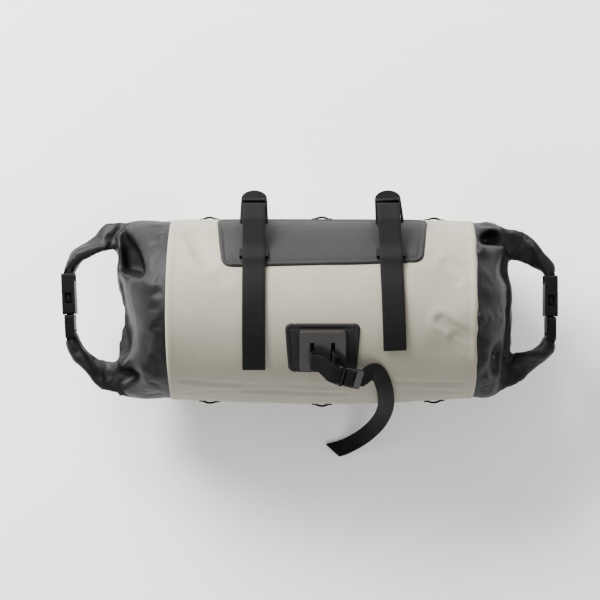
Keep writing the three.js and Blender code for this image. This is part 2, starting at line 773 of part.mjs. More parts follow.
// Bars and slots of the ladder lock, measured along it from its middle
const lockBars = { tab: 7.4, grip: 4, slotTop: 4, slotLow: -1.5, webSlotTop: -6.5, webSlotLow: -12.5 };
const lockSlotMiddle = (lockBars.slotTop + lockBars.slotLow) / 2;
const lockWebMiddle = -10.5;
const webFace = lockThick / 2 + gap + strapThick / 2;
const strapFace = webFace + strapThick + gap;

const lockCentre = vector(0, bodyRadius + lockTopReach - (lockLength / 2) * Math.cos(lockSlope * degree),
  axisHeight + lockHeight);
const lockAlong = vector(0, Math.cos(lockSlope * degree), -Math.sin(lockSlope * degree));
const lockOut = vector(0, Math.sin(lockSlope * degree), Math.cos(lockSlope * degree));

function besideLock(along, out) {
  return lockCentre.clone().addScaledVector(lockAlong, along).addScaledVector(lockOut, out);
}

// Carries a route in the strap's own plane to its place along the bag, leaning where it leans
function leanStrap(kind, point) {
  const slope = Math.tan(kind.lean * degree);
  return point.setX(kind.middle - slope * (point.y - bodyRadius / 2));
}

const onPanel = panelTop + gap + strapThick / 2;
const keeperUnder = onPanel + strapThick / 2 + gap;
const overKeeper = keeperUnder + keeperBar + gap + strapThick / 2;

function flatRoute(angle, lift) {
  const point = bodyPoint(0, angle, lift);
  return point.setX(0);
}

function addHandlebarStrap(name, kind) {
  const corner = (point, radius) => ({ point: leanStrap(kind, point), radius, across: alongX });
  const loopOut = bodyRadius + lockTopReach - loopShort;
  const corners = [
    corner(flatRoute(28, onPanel)),
    corner(flatRoute(21, onPanel), 40),
    corner(flatRoute(14.5, onPanel), 40),
    corner(vector(0, bodyRadius + loopRootOut, axisHeight + loopRootHigh - 1), loopBend),
    corner(vector(0, loopOut, axisHeight + loopRootHigh), loopBend),
    corner(besideLock(15.5, -8), 7),
    corner(besideLock(lockSlotMiddle, -strapFace), 2.4),
    corner(besideLock(lockSlotMiddle, strapFace), 2.4),
    corner(besideLock(-15, strapFace + 0.6), 12),
    corner(flatRoute(keeperAngle - 3.5, overKeeper + 0.5), 20),
    corner(flatRoute(keeperAngle + 3.5, overKeeper + 0.5), 14),
    corner(flatRoute(62, onPanel + 0.6), 30),
  ];
  for (let angle = 67; angle < kind.tail; angle += 6) {
    const lift = Math.max(gap + 0.4 + strapThick / 2, onPanel - (angle - 67) * 0.04);
    corners.push(corner(flatRoute(angle, lift), 60));
  }
  corners.push(corner(flatRoute(kind.tail, gap + 0.4 + strapThick / 2)));
  const path = roundedPath(corners, 3);
  addPiece(`handlebar_strap_${name}`, webbing(path, strapWide, strapThick), "webbing");
}

function addAnchorWeb(name, kind) {
  const corner = (point, radius) => ({ point: leanStrap(kind, point), radius, across: alongX });
  const path = roundedPath([
    corner(flatRoute(keeperAngle + 6.5, onPanel)),
    corner(flatRoute(keeperAngle, onPanel), 40),
    corner(flatRoute(keeperAngle - 5, onPanel), 20),
    corner(besideLock(-17.5, -webFace - 0.4), 8),
    corner(besideLock(lockWebMiddle, -webFace), 2),
    corner(besideLock(lockWebMiddle, webFace), 2),
    corner(besideLock(-16.5, webFace)),
  ], 3);
  addPiece(`anchor_web_${name}`, webbing(path, strapWide, strapThick), "webbing");
}

function addLadderLock(name, kind) {
  const [top, low] = [lockLength / 2, -lockLength / 2];
  const [t, b] = [lockWide / 2, (lockWide + lockFlare) / 2];
  const shape = new THREE.Shape();
  shape.moveTo(-b + 2, low);
  shape.lineTo(b - 2, low);
  shape.quadraticCurveTo(b, low, b, low + 2);
  shape.lineTo(t, lockBars.tab);
  shape.absellipse(0, lockBars.tab, t, top - lockBars.tab, 0, Math.PI, false, 0);
  shape.lineTo(-b, low + 2);
  shape.quadraticCurveTo(-b, low, -b + 2, low);
  const slot = strapWide + 3 * gap;
  shape.holes.push(slotHole(slot, lockBars.slotLow, lockBars.slotTop));
  shape.holes.push(slotHole(slot, lockBars.webSlotLow, lockBars.webSlotTop));
  const gripRadius = (lockBars.tab - lockBars.grip) / 2;
  const grip = new THREE.CylinderGeometry(gripRadius, gripRadius, lockWide - 0.2, 10);
  grip.rotateZ(Math.PI / 2).translate(0, lockBars.grip + gripRadius + 0.2, lockThick / 2);
  const mesh = addPiece(`ladder_lock_${name}`, joinTo(flatPlate(shape, lockThick, 5), grip), "bucklePlastic");
  mesh.position.copy(leanStrap(kind, lockCentre.clone()));
  const upright = new THREE.Matrix4().makeBasis(alongX, lockAlong, lockOut);
  mesh.quaternion.setFromRotationMatrix(upright);
  mesh.rotateZ(kind.lockTurn * degree);
}

// A plastic keeper over the anchor webbing, whose feet show as ears beside the strap
function addKeeper(name, kind) {
  const tall = keeperUnder + keeperBar - panelTop - gap;
  const under = keeperUnder - panelTop - gap;
  const shell = boxAt(keeperWide, keeperLong, tall, 0, 0, panelTop + gap + tall / 2);
  const channel = boxAt(strapWide + 1, keeperLong * 2, under, 0, 0, panelTop + gap + under / 2 - 0.01);
  const belly = new THREE.CylinderGeometry(bodyRadius + panelTop + gap, bodyRadius + panelTop + gap,
    keeperWide * 2, 160);
  belly.rotateZ(Math.PI / 2).translate(0, 0, -bodyRadius);
  const mesh = addPiece(`keeper_${name}`, cutAway(shell, channel, belly), "bucklePlastic");
  const onBody = flatRoute(keeperAngle, 0);
  mesh.position.copy(leanStrap(kind, onBody));
  const out = outOfBody(keeperAngle);
  const basis = new THREE.Matrix4().makeBasis(alongX, out.clone().cross(alongX), out);
  mesh.quaternion.setFromRotationMatrix(basis);
}

// The moulded plate: a shallow tray with two slots, hollowed beneath for the strap
const plateFace = patchTop + gap + plateRecess + plateSkin;
const plateOut = outOfBody(plateAngle);
const plateUp = plateOut.clone().cross(alongX);
const plateOrigin = bodyPoint(0, plateAngle, plateFace);
const strapUnderPlate = -plateSkin - gap - headThick / 2;
const strapInSlot = -slotDrop - slotLong / 2 + headWide / 2 + 0.5;

function besidePlate(x, up, out) {
  const inPlane = plateOrigin.clone().addScaledVector(alongX, x).addScaledVector(plateUp, up);
  return inPlane.addScaledVector(plateOut, out);
}

function addPlate() {
  const depth = 9;
  const rim = 3;
  const half = plateHeight / 2;
  const shape = roundedShape(plateLength, plateLength, -half, half, plateCorner);
  const block = flatPlate(shape, depth, 3).translate(0, 0, -depth / 2);
  const recess = boxAt(plateLength - 2 * rim, plateHeight - 2 * rim, depth, 0, 0, -plateSkin - depth / 2);
  const slots = [-1, 1].map((side) => (
    boxAt(slotWide, slotLong, depth, side * (slotSpacing / 2), -slotDrop, 0)));
  const bellyRadius = bodyRadius + patchTop + gap;
  const belly = new THREE.CylinderGeometry(bellyRadius, bellyRadius, plateLength * 2, 160);
  belly.rotateZ(Math.PI / 2).translate(0, 0, -bodyRadius - plateFace);
  const mesh = addPiece("anchor_plate", cutAway(block, recess, ...slots, belly), "platePlastic");
  mesh.position.copy(plateOrigin);
  mesh.quaternion.setFromRotationMatrix(new THREE.Matrix4().makeBasis(alongX, plateUp, plateOut));
}

// The head strap's small lock, placed beside the plate and tilted with the strap
const headLockMiddle = besidePlate(23.2, -21.5, 8.2);
const headLockAlong = alongX.clone().multiplyScalar(0.978).addScaledVector(plateUp, -0.26)
  .addScaledVector(plateOut, -0.08).normalize();
const headLockOut = plateOut.clone().addScaledVector(headLockAlong, -plateOut.dot(headLockAlong)).normalize();
const headLockUp = headLockOut.clone().cross(headLockAlong);
const headBars = {
  webSlotLow: -10.4, webSlotTop: -7.8, grip: -6, slotLow: -4.2, slotTop: -1.2, end: 2.4, endSlotTop: 6,
};

function besideHeadLock(along, out) {
  return headLockMiddle.clone().addScaledVector(headLockAlong, along).addScaledVector(headLockOut, out);
}

function addHeadLock() {
  const wide = headWide + 3.5;
  const half = headLockLength / 2;
  const shape = roundedShape(wide, wide, -half, half, 1.5);
  for (const [low, high] of [
    [headBars.webSlotLow, headBars.webSlotTop],
    [headBars.slotLow, headBars.slotTop],
    [headBars.end, headBars.endSlotTop],
  ]) shape.holes.push(slotHole(headWide + 0.8, low, high));
  const grip = new THREE.CylinderGeometry(1.8, 1.8, wide, 10);
  grip.rotateZ(Math.PI / 2).translate(0, headBars.grip, headLockThick / 2);
  const mesh = addPiece("head_lock", joinTo(flatPlate(shape, headLockThick, 3), grip), "bucklePlastic");
  mesh.position.copy(headLockMiddle);
  const basis = new THREE.Matrix4().makeBasis(headLockUp.clone().negate(), headLockAlong, headLockOut);
  mesh.quaternion.setFromRotationMatrix(basis);
}

// The head strap: fixed round the lock's first bar, in through one slot of the plate, out through
// the other, threaded through the lock, and over the bag's side to the surface
function addHeadStrap() {
  const face = headLockThick / 2 + gap + headThick / 2;
  const webMiddle = (headBars.webSlotLow + headBars.webSlotTop) / 2;
  const gripSlot = (headBars.slotLow + headBars.slotTop) / 2;
  const endSlot = (headBars.end + headBars.endSlotTop) / 2;
  const inLock = (along, out, radius) => ({ point: besideHeadLock(along, out), radius, across: headLockUp });
  const inPlate = (x, out, radius) => ({ point: besidePlate(x, strapInSlot, out), radius, across: plateUp });
  const slotX = slotSpacing / 2;
  const betweenUps = plateUp.clone().add(headLockUp).normalize();
  const corners = [
    inLock(-16.5, -face, 0),
    inLock(webMiddle, -face, 1.5),
    inLock(webMiddle, face, 1.5),
    inLock(-15, face + 0.4, 8),
    inPlate(-2, 9, 14),
    inPlate(-slotX - 2.5, 7.5, 4),
    inPlate(-slotX, 3, 4),
    inPlate(-slotX, strapUnderPlate, 1.8),
    inPlate(slotX, strapUnderPlate, 1.8),
    inPlate(slotX, 3.4, 2),
    { point: besidePlate(slotX + 5, strapInSlot - 5, 4), radius: 4, across: betweenUps },
    inLock(gripSlot, -face - 2, 2),
    inLock(gripSlot, face, 1.5),
    inLock(endSlot, face, 1.5),
    inLock(endSlot, -face, 1.5),
  ];
  const lead = roundedPath([...corners, inLock(12, -face, 0)], 4);
  const tailPoints = headTailRoute.map((row) => (
    vector(row.across, row.up, row.high).multiplyScalar(bodyRadius).add(vector(0, 0, axisHeight))));
  const tailStart = [besideHeadLock(8, -face), besideHeadLock(12.5, -face - 0.2)];
  const tail = new THREE.CatmullRomCurve3([...tailStart, ...tailPoints], false, "centripetal");
  const tailCount = 40;
  const tailPath = Array.from({ length: tailCount + 1 }, (unused, i) => {
    const share = i / tailCount;
    const point = tail.getPointAt(share);
    const level = upZ.clone().cross(tail.getTangentAt(share)).normalize();
    const settled = clamp(share / 0.16, 0, 1);
    return { point, across: headLockUp.clone().lerp(level, settled).normalize() };
  });
  const path = [...lead.slice(0, -1), ...tailPath];
  addPiece("head_strap", webbing(path, headWide, headThick, headTailCut), "webbing");
}

// Lash loops: short webbing bridges along the bag on both of its silhouettes
function addLashLoops() {
  const lift = gap + lashThick / 2 + 0.1;
  const rises = [0, 0, 0.55, 0.95, 1, 0.95, 0.55, 0, 0];
  for (const [edge, angle] of [["top", -5], ["bottom", 184]]) {
    for (const place of [-1, 0, 1]) {
      const middle = place * lashSpacing;
      const path = rises.map((rise, i) => {
        const x = middle + lashLength * (i / (rises.length - 1) - 0.5);
        const across = vector(0, -Math.sin(angle * degree), Math.cos(angle * degree));
        return { point: bodyPoint(x, angle, lift + rise * lashRise), across };
      });
      addPiece(`lash_loop_${edge}_${place + 2}`, webbing(path, lashWide, lashThick), "webbing");
    }
  }
}

// The small stud in the right cap's lower fold
function addStud() {
  const [out, angle] = [0.62, 126];
  const at = capPoint(ends.right, out, angle);
  const along = capPoint(ends.right, out + 0.05, angle).sub(capPoint(ends.right, out - 0.05, angle));
  const round = capPoint(ends.right, out, angle + 3).sub(capPoint(ends.right, out, angle - 3));
  const normal = round.cross(along).normalize();
  if (normal.z < 0) normal.negate();
  const radius = studDiameter / 2;
  const stud = new THREE.CylinderGeometry(radius * 0.8, radius, studHeight, 12);
  const mesh = addPiece("roll_stud", stud, "bucklePlastic");
  mesh.quaternion.setFromUnitVectors(vector(0, 1, 0), normal);
  mesh.position.copy(at).addScaledVector(normal, studHeight / 2 + gap + 0.6);
}

addBody();
addPanels();
for (const [name, end] of Object.entries(ends)) addEnd(name, end);
for (const [name, kind] of Object.entries(strapKinds)) {
  addHandlebarStrap(name, kind);
  addAnchorWeb(name, kind);
  addLadderLock(name, kind);
  addKeeper(name, kind);
}
addPlate();
addHeadLock();
addHeadStrap();
addLashLoops();
addStud();

// The origin lies under the middle of the whole bag, on the surface that it rests on
const wholeBox = new THREE.Box3().setFromObject(bag);
const wholeMiddle = wholeBox.getCenter(vector(0, 0, 0));
bag.position.set(-wholeMiddle.x, -wholeMiddle.y, -wholeBox.min.z);

export default bag;
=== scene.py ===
"""A bicycle handlebar bag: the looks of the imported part, piece by piece."""

import math

import bmesh
import bpy
from mathutils import Matrix, Vector, noise
from mathutils.geometry import intersect_point_line

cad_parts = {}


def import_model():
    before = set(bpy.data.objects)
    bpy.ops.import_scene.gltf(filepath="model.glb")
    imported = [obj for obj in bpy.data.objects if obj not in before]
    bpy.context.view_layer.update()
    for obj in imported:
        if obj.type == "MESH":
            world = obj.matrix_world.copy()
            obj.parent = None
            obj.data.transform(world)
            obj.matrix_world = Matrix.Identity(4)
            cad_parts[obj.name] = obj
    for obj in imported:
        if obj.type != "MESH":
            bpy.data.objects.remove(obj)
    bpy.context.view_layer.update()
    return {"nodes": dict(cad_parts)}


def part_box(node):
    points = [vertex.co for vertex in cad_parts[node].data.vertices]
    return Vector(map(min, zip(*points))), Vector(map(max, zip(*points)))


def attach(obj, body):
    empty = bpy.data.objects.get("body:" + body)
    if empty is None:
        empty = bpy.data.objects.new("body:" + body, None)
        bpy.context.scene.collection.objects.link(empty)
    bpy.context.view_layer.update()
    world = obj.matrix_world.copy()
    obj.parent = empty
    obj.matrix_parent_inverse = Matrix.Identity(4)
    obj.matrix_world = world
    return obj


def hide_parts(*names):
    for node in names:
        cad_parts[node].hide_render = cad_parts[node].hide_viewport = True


bl_info = {
    "name": "Handlebar bag",
    "version": (1, 0, 0),
    "blender": (4, 5, 0),
    "location": "3D View > Sidebar > Handlebar bag",
    "description": "Dresses a roll-top handlebar bag in cloth, webbing and moulded plastic",
    "category": "Add Mesh",
}

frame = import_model()

MM = 0.001
# End cloths: remesh step and the furthest that the simulation moves them in mm, their slack, how
# low their points may lie in metres, and how wide arms and rolls are in mm
CLOTH_VOXEL = 2.4
CLOTH_MOVE = 2.0
CLOTH_SLACK = 0.018
CLOTH_LOWEST = 0.0002
ARM_WIDE = 27
ROLL_WIDE = 25
# How high the tube and caps stop above the floor, and how softly they round off there, in mm
FLOOR_GAP = 0.15
FLOOR_BLEND = 4
# From the middle of the tube on the floor to the middle of the row's frame, in mm
FRAME_SHIFT = Vector((11.651, 13.896, 0.0))
RIGHT = Vector((1, 0, 0))
UP = Vector((0, 0, 1))


class BagSizes(bpy.types.PropertyGroup):
    """Sizes that a user would change, in metres."""

    body_length: bpy.props.FloatProperty(
        name="Tube length", description="Length of the light tube", default=0.278, unit="LENGTH")
    body_diameter: bpy.props.FloatProperty(
        name="Tube diameter", description="Outside of the packed tube", default=0.170, unit="LENGTH")
    settle: bpy.props.FloatProperty(
        name="Settle", description="How far the tube flattens where it lies", default=0.008, unit="LENGTH")
    cloth: bpy.props.FloatProperty(
        name="Cloth", description="Thickness of the coated cloth wall", default=0.0015, unit="LENGTH")
    strap_wide: bpy.props.FloatProperty(
        name="Handlebar strap", description="Width of the handlebar webbing", default=0.020, unit="LENGTH")
    head_wide: bpy.props.FloatProperty(
        name="Head strap", description="Width of the narrow webbing", default=0.015, unit="LENGTH")


class BagColours(bpy.types.PropertyGroup):
    """Colours that a user would change, as sRGB hex values."""

    tube: bpy.props.StringProperty(name="Tube", description="Light coated cloth", default="948F7F")
    cap: bpy.props.StringProperty(name="Caps", description="Charcoal coated cloth", default="0D0C0F")
    panel: bpy.props.StringProperty(name="Panel", description="Welded panel", default="171615")
    patch: bpy.props.StringProperty(name="Patch", description="Small welded patch", default="151415")
    webbing: bpy.props.StringProperty(name="Webbing", description="Woven straps", default="0B0A0A")
    plate: bpy.props.StringProperty(name="Plate", description="Moulded plate", default="1B1917")
    buckle: bpy.props.StringProperty(name="Buckles", description="Moulded buckles", default="070707")


# The tube along its length: place, girth and sideways drift, as shares of length and radius
TUBE_SECTIONS = [
    (-0.5, 0.970, 0.016), (-0.25, 0.992, 0.003), (0.0, 1.0, -0.006), (0.25, 0.990, 0.0), (0.5, 0.958, 0.016),
]
# Soft dents of the tube: place, angle, reach along, reach round and depth
TUBE_DENTS = [
    (-0.38, 44, 0.12, 18, 0.032), (0.41, 74, 0.14, 22, 0.030), (0.43, 112, 0.13, 16, 0.024),
    (-0.20, 147, 0.24, 13, 0.012), (0.30, 146, 0.22, 13, 0.012),
]
# Creases of the tube: from and to (mm along, degrees round), width and depth in mm
TUBE_CREASES = [
    ((-118, 34), (-104, 58), 7.0, 1.3), ((-112, 52), (-88, 70), 6.0, 0.7), ((100, 52), (121, 70), 5.0, 1.2),
    ((112, 58), (134, 66), 5.0, 1.1), ((106, 96), (134, 110), 5.0, 2.0), ((118, 108), (137, 120), 4.5, 1.4),
    ((-128, 140), (-60, 144), 3.6, 1.3), ((-70, 149), (20, 151), 3.4, 1.3), ((60, 139), (130, 145), 3.6, 1.4),
    ((76, 149), (128, 156), 3.2, 0.7), ((-132, 158), (-96, 150), 3.6, 0.7), ((-30, 141), (24, 143), 3.6, 0.5),
    ((-122, 228), (-60, 238), 6.0, 0.9), ((40, 230), (110, 222), 6.0, 0.9), ((-60, 332), (30, 326), 6.0, 0.8),
    ((60, 322), (124, 336), 6.0, 0.8), ((-128, 8), (-112, 30), 5.0, 0.7), ((118, 8), (132, 30), 5.0, 0.7),
]

# Each end of the bag, in mm from the middle of the tube where nothing else is said.
# side, reach, loop: which way it points, and how far its mouth and its loop stand out
# clip_up, clip_tilt: its buckle's place as a share of the radius, and its turn in degrees
# sections, mouth: the cap (share out, half width, half depth), and the mouth's line (up, out)
# dents: soft dents (share out, angle, reach out, reach round, depth)
# pockets: folds pressed down to a floor above the axis, with the lines that they stop at
# ridges: (from, to, width, top at the start, top at the end), with the tops above the axis
# creases: (from, to, width, depth), where a negative depth stands up
# upper, lower: its arms (share out, up, width, turn); roll_turns: turn of its rolled mouth
ENDS = {
    "left": {
        "side": -1, "reach": 40, "loop": 100, "section": TUBE_SECTIONS[0],
        "clip_up": 0.06, "clip_tilt": 2.5, "rumple": 0.5,
        "sections": [(0, 1, 1), (0.25, 1, 0.965), (0.5, 1, 0.86), (0.75, 0.995, 0.62), (0.9, 0.985, 0.34),
                     (1, 0.975, 0)],
        "mouth": [(-1, 1.12), (-0.62, 1.09), (-0.35, 0.88), (-0.12, 0.905), (0.12, 0.99), (0.35, 1.10),
                  (0.62, 1.08), (1, 1.12)],
        "dents": [(0.80, 50, 0.5, 25, 0.10), (0.86, 141, 0.4, 18, 0.10), (0.78, 312, 0.45, 22, 0.13),
                  (0.80, 225, 0.4, 18, 0.12)],
        "pockets": [
            {"at": (-199, 31), "reach": (43, 49), "wall": 0.11, "from": (-204, 29), "soft": 6, "floor": 6},
            {"at": (-181, -60), "reach": (18, 9), "wall": 0.4, "from": (-240, -90), "soft": 5, "floor": 5},
            {"at": (-179, -20), "reach": (13, 18), "wall": 0.9, "from": (-240, -90), "soft": 5, "floor": 17},
        ],
        "ridges": [
            ((-185.5, 70), (-186.5, 38), 3.0, 14, 24), ((-187, 35), (-160, 28), 6.5, 22, 62),
            ((-184, -50), (-162, -40), 5.0, 16, 56),
        ],
        "creases": [
            ((-172, 26), (-152, 24), 5.0, -1.2), ((-178, 20), (-154, -2), 7.0, 1.2),
            ((-169, -27), (-150, -4), 5.0, -1.3), ((-170, -34), (-150, -52), 6.0, 1.0),
            ((-176, -22), (-158, -44), 4.5, -1.6), ((-150, 60), (-146, 20), 6.0, 0.9),
            ((-182, -42), (-162, -52), 4.0, -2.2), ((-168, 8), (-146, 10), 6.0, 0.8),
        ],
        "upper": [(0, 0.80, 1, 90), (0.20, 0.80, 1, 76), (0.38, 0.735, 0.92, 42), (0.60, 0.66, 0.80, 24),
                  (0.77, 0.59, 0.76, 8), (0.86, 0.50, 0.74, 0)],
        "lower": [(0, -0.72, 1, 90), (0.26, -0.69, 1.02, 78), (0.545, -0.575, 0.86, 30),
                  (0.73, -0.47, 0.78, 8), (0.82, -0.38, 0.74, 0)],
        "roll_turns": [(0, -8), (0.18, -30), (0.33, -54), (0.50, -38), (0.66, -30), (0.84, -14), (1, -4)],
    },
    "right": {
        "side": 1, "reach": 28, "loop": 78, "section": TUBE_SECTIONS[4],
        "clip_up": 0.035, "clip_tilt": 0, "rumple": 1.2,
        "sections": [(0, 1, 1), (0.25, 1, 0.96), (0.5, 0.995, 0.85), (0.75, 0.975, 0.62), (0.9, 0.95, 0.34),
                     (1, 0.93, 0)],
        "mouth": [(-1, 0.97), (-0.62, 0.94), (-0.35, 0.98), (0, 1.02), (0.25, 1.02), (0.42, 0.84),
                  (0.62, 0.92), (1, 1)],
        "dents": [(0.60, 33, 0.5, 14, 0.08), (0.70, 123, 0.35, 20, 0.07), (0.45, 93, 0.4, 12, 0.035),
                  (0.70, 318, 0.45, 18, 0.12), (0.70, 228, 0.4, 18, 0.12)],
        "pockets": [
            {"at": (161, 66), "reach": (22, 10), "wall": 0.4, "from": (100, -90), "soft": 4, "floor": 7},
            {"at": (156.5, -46), "reach": (7, 19), "wall": 0.55, "from": (100, -90), "soft": 4, "floor": 26},
        ],
        "ridges": [((146, 58), (172, 57), 5.0, 62, 22)],
        "creases": [
            ((142, 56), (172, 55), 4.5, -3.0), ((144, 46), (166, 34), 6.0, 2.4),
            ((141, -5), (170, -9), 4.5, -4.2), ((142, 10), (168, 4), 6.0, 2.4),
            ((142, -16), (166, -19), 5.0, 2.4), ((150, 30), (160, 8), 6.0, 1.6),
            ((150, -64), (170, -62), 4.5, -1.4), ((166, -26), (168, -56), 4.0, -1.8),
        ],
        "upper": [(0, 0.72, 1.04, 90), (0.19, 0.72, 1.06, 82), (0.40, 0.665, 1.02, 62),
                  (0.60, 0.585, 0.92, 38), (0.77, 0.50, 0.80, 14), (0.86, 0.45, 0.74, 0)],
        "lower": [(0, -0.655, 1.18, 90), (0.215, -0.61, 1.06, 80), (0.50, -0.53, 0.92, 46),
                  (0.72, -0.46, 0.80, 12), (0.85, -0.385, 0.74, 0)],
        "roll_turns": [(0, 0), (0.5, 6), (1, 0)],
    },
}

# Free tail of the head strap: across from the bag's middle, up and high from the tube's middle
HEAD_TAIL = [
    (41.0, -55.6, 77.5), (47.0, -53.6, 74), (52.0, -58.9, 66.5), (55.8, -68.2, 56.5), (58.1, -79.5, 38),
    (57.7, -91.3, 10), (52.9, -103.6, -22), (43.7, -115, -50), (32.3, -124, -68.2), (20.4, -130.1, -75.2),
    (10.5, -133, -75.5),
]

# The two handlebar straps: middle along the bag, lean in degrees and the angle of the tail's end
STRAPS = {"left": (-61.7, 0.0, 127.0), "right": (61.7, 2.3, 113.6)}

# Moulded pieces and how far their edges are rounded, in mm
MOULDED = {
    "clip_socket_left": 0.8, "clip_socket_right": 0.8, "clip_plug_left": 0.6, "clip_plug_right": 0.6,
    "ladder_lock_left": 0.7, "ladder_lock_right": 0.7, "keeper_left": 0.4, "keeper_right": 0.4,
    "head_lock": 0.45, "roll_stud": 0.4,
}

# The studio's soft boxes: place and size in metres, power in watts and what they point at
SOFTBOXES = {
    "key softbox": ((-1.25, 1.7, 1.3), (1.5, 1.0), 230.0, (0, 0, 0.08)),
    "left softbox": ((-1.9, 0.3, 1.1), (1.2, 1.0), 8.0, (0, 0, 0.05)),
    "right softbox": ((1.9, 0.3, 1.1), (1.2, 1.0), 15.0, (0, 0, 0.05)),
    "near softbox": ((0.1, -1.9, 1.2), (1.6, 0.9), 16.0, (0, 0, 0.05)),
    "rim softbox": ((-0.1, 2.5, 0.72), (1.8, 0.16), 34.0, (0, 0, 0.12)),
}

# The sizes in mm, as the scene holds them
SIZES = {}


def read_sizes():
    """Takes the bag's sizes from the scene, in mm."""
    held = bpy.context.scene.bag_sizes
    for name in BagSizes.__annotations__:
        SIZES[name] = getattr(held, name) / MM


def tube_radius():
    return SIZES["body_diameter"] / 2


def half_length():
    return SIZES["body_length"] / 2


def axis_height():
    """How high the tube's axis lies, since the tube settles where it rests."""
    return tube_radius() - SIZES["settle"]


def read_table(rows, at, column):
    """A smooth value between the rows of a table whose first column is the place."""
    last = len(rows) - 1
    i = 0
    while i < last - 1 and at > rows[i + 1][0]:
        i += 1
    before, a, b, after = rows[max(i - 1, 0)], rows[i], rows[i + 1], rows[min(i + 2, last)]
    span = b[0] - a[0]
    t = min(max((at - a[0]) / span, 0), 1)
    slope_a = (b[column] - before[column]) / (b[0] - before[0]) * span
    slope_b = (after[column] - a[column]) / (after[0] - a[0]) * span
    t2, t3 = t * t, t * t * t
    return ((2 * t3 - 3 * t2 + 1) * a[column] + (t3 - 2 * t2 + t) * slope_a
            + (3 * t2 - 2 * t3) * b[column] + (t3 - t2) * slope_b)


def mix(a, b, share):
    return a + (b - a) * share


def step(value):
    """Smooth step from 0 to 1."""
    value = min(max(value, 0), 1)
    return value * value * (3 - 2 * value)


def bump(distance):
    return (1 - distance * distance) ** 2 if distance < 1 else 0


def smooth_max(value, floor, blend):
    share = min(max(0.5 + 0.5 * (value - floor) / blend, 0), 1)
    return mix(floor, value, share) + blend * share * (1 - share)


def angle_between(a, b):
    return (a - b + 540) % 360 - 180


def crease_depth(place, creases, scale=(1, 1)):
    """How far the creases push a place in; a negative depth raises a ridge."""
    depth = 0
    here = Vector((place[0] * scale[0], place[1] * scale[1], 0))
    for start, end, wide, deep in creases:
        a = Vector((start[0] * scale[0], start[1] * scale[1], 0))
        b = Vector((end[0] * scale[0], end[1] * scale[1], 0))
        near, share = intersect_point_line(here, a, b)
        near = a.lerp(b, min(max(share, 0), 1))
        across = (here - near).length / wide
        depth += deep * (bump(across / 1.6) - 0.35 * bump((across - 1.7) / 1.2))
    return depth


def tube_point(x, angle, lift, plain=False):
    """A point on the tube in mm, lifted off its outer face."""
    radius_full = tube_radius()
    turn = math.radians(angle)
    along = x / SIZES["body_length"]
    radius = radius_full * read_table(TUBE_SECTIONS, along, 1) + lift
    for place, at, reach, round_reach, depth in TUBE_DENTS:
        away = math.hypot((along - place) / reach, angle_between(angle, at) / round_reach)
        radius -= radius_full * depth * bump(away)
    if not plain:
        from_seam = step((half_length() - 2 - abs(x)) / 14)
        mm_a_degree = radius_full * math.pi / 180
        radius -= crease_depth((x, angle % 360), TUBE_CREASES, (1, mm_a_degree)) * from_seam
        ring = (math.cos(turn) * 2.6, math.sin(turn) * 2.6)
        ripple = noise.noise(Vector((x / 34, *ring)))
        radius += 0.55 * ripple
    y = radius_full * read_table(TUBE_SECTIONS, along, 2) + radius * math.cos(turn)
    z = axis_height() + radius * math.sin(turn)
    return Vector((x, y, smooth_max(z, max(-lift, FLOOR_GAP), FLOOR_BLEND)))


def world(point):
    """A point of the tube's own frame in mm, in the row's frame in metres."""
    return (point + FRAME_SHIFT) * MM


def finish_shape(name, shape, outward_from=None):
    """Turns a finished bmesh into an object at the origin, with smooth faces that point outwards."""
    if outward_from is not None:
        bmesh.ops.recalc_face_normals(shape, faces=shape.faces)
        leaning = sum(face.normal.dot(face.calc_center_median() - outward_from(face.calc_center_median()))
                      for face in shape.faces)
        if leaning < 0:
            bmesh.ops.reverse_faces(shape, faces=shape.faces)
    for face in shape.faces:
        face.smooth = True
    mesh = bpy.data.meshes.new(name)
    shape.to_mesh(mesh)
    shape.free()
    piece = bpy.data.objects.new(name, mesh)
    bpy.context.scene.collection.objects.link(piece)
    return piece


def shaped_sheet(name, columns, rows, place, mapped=None, closed=False, outward_from=None):
    """A grid moved into place in mm, with its own map in metres; a closed one goes right round,
    and one without a map is a skin to be remeshed, so its ends are filled."""
    shape = bmesh.new()
    bmesh.ops.create_grid(shape, x_segments=columns, y_segments=rows, size=0.5)
    if mapped:
        layer = shape.loops.layers.uv.new("UVMap")
        for loop in (loop for face in shape.faces for loop in face.loops):
            loop[layer].uv = mapped(loop.vert.co.x + 0.5, loop.vert.co.y + 0.5)
    for vert in shape.verts:
        vert.co = world(place(vert.co.x + 0.5, vert.co.y + 0.5))
    if closed:
        bmesh.ops.remove_doubles(shape, verts=shape.verts, dist=0.00002)
    if not mapped:
        bmesh.ops.holes_fill(shape, edges=[edge for edge in shape.edges if edge.is_boundary], sides=0)
    return finish_shape(name, shape, outward_from)


def tube_axis(place):
    """The nearest place on the tube's own axis."""
    return Vector((place.x, FRAME_SHIFT.y * MM, axis_height() * MM))


def add_thickness(piece, thick, offset=-1.0, rounded=0.0, even=True):
    """Gives a sheet its cloth or webbing thickness, in mm, with rounded edges where asked."""
    wall = piece.modifiers.new("thickness", "SOLIDIFY")
    wall.thickness = thick * MM
    wall.offset = offset
    wall.use_even_offset = even
    if rounded:
        edge = piece.modifiers.new("edge", "BEVEL")
        edge.width = rounded * MM
        edge.segments = 2
        edge.limit_method = "ANGLE"
        edge.angle_limit = math.radians(50)


def dress(piece, material, slot, *nodes):
    """Lets a piece ride on the bag, stand in for its CAD nodes and take its material."""
    piece.data.materials.clear()
    piece.data.materials.append(material)
    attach(piece, "root")
    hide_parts(*nodes)


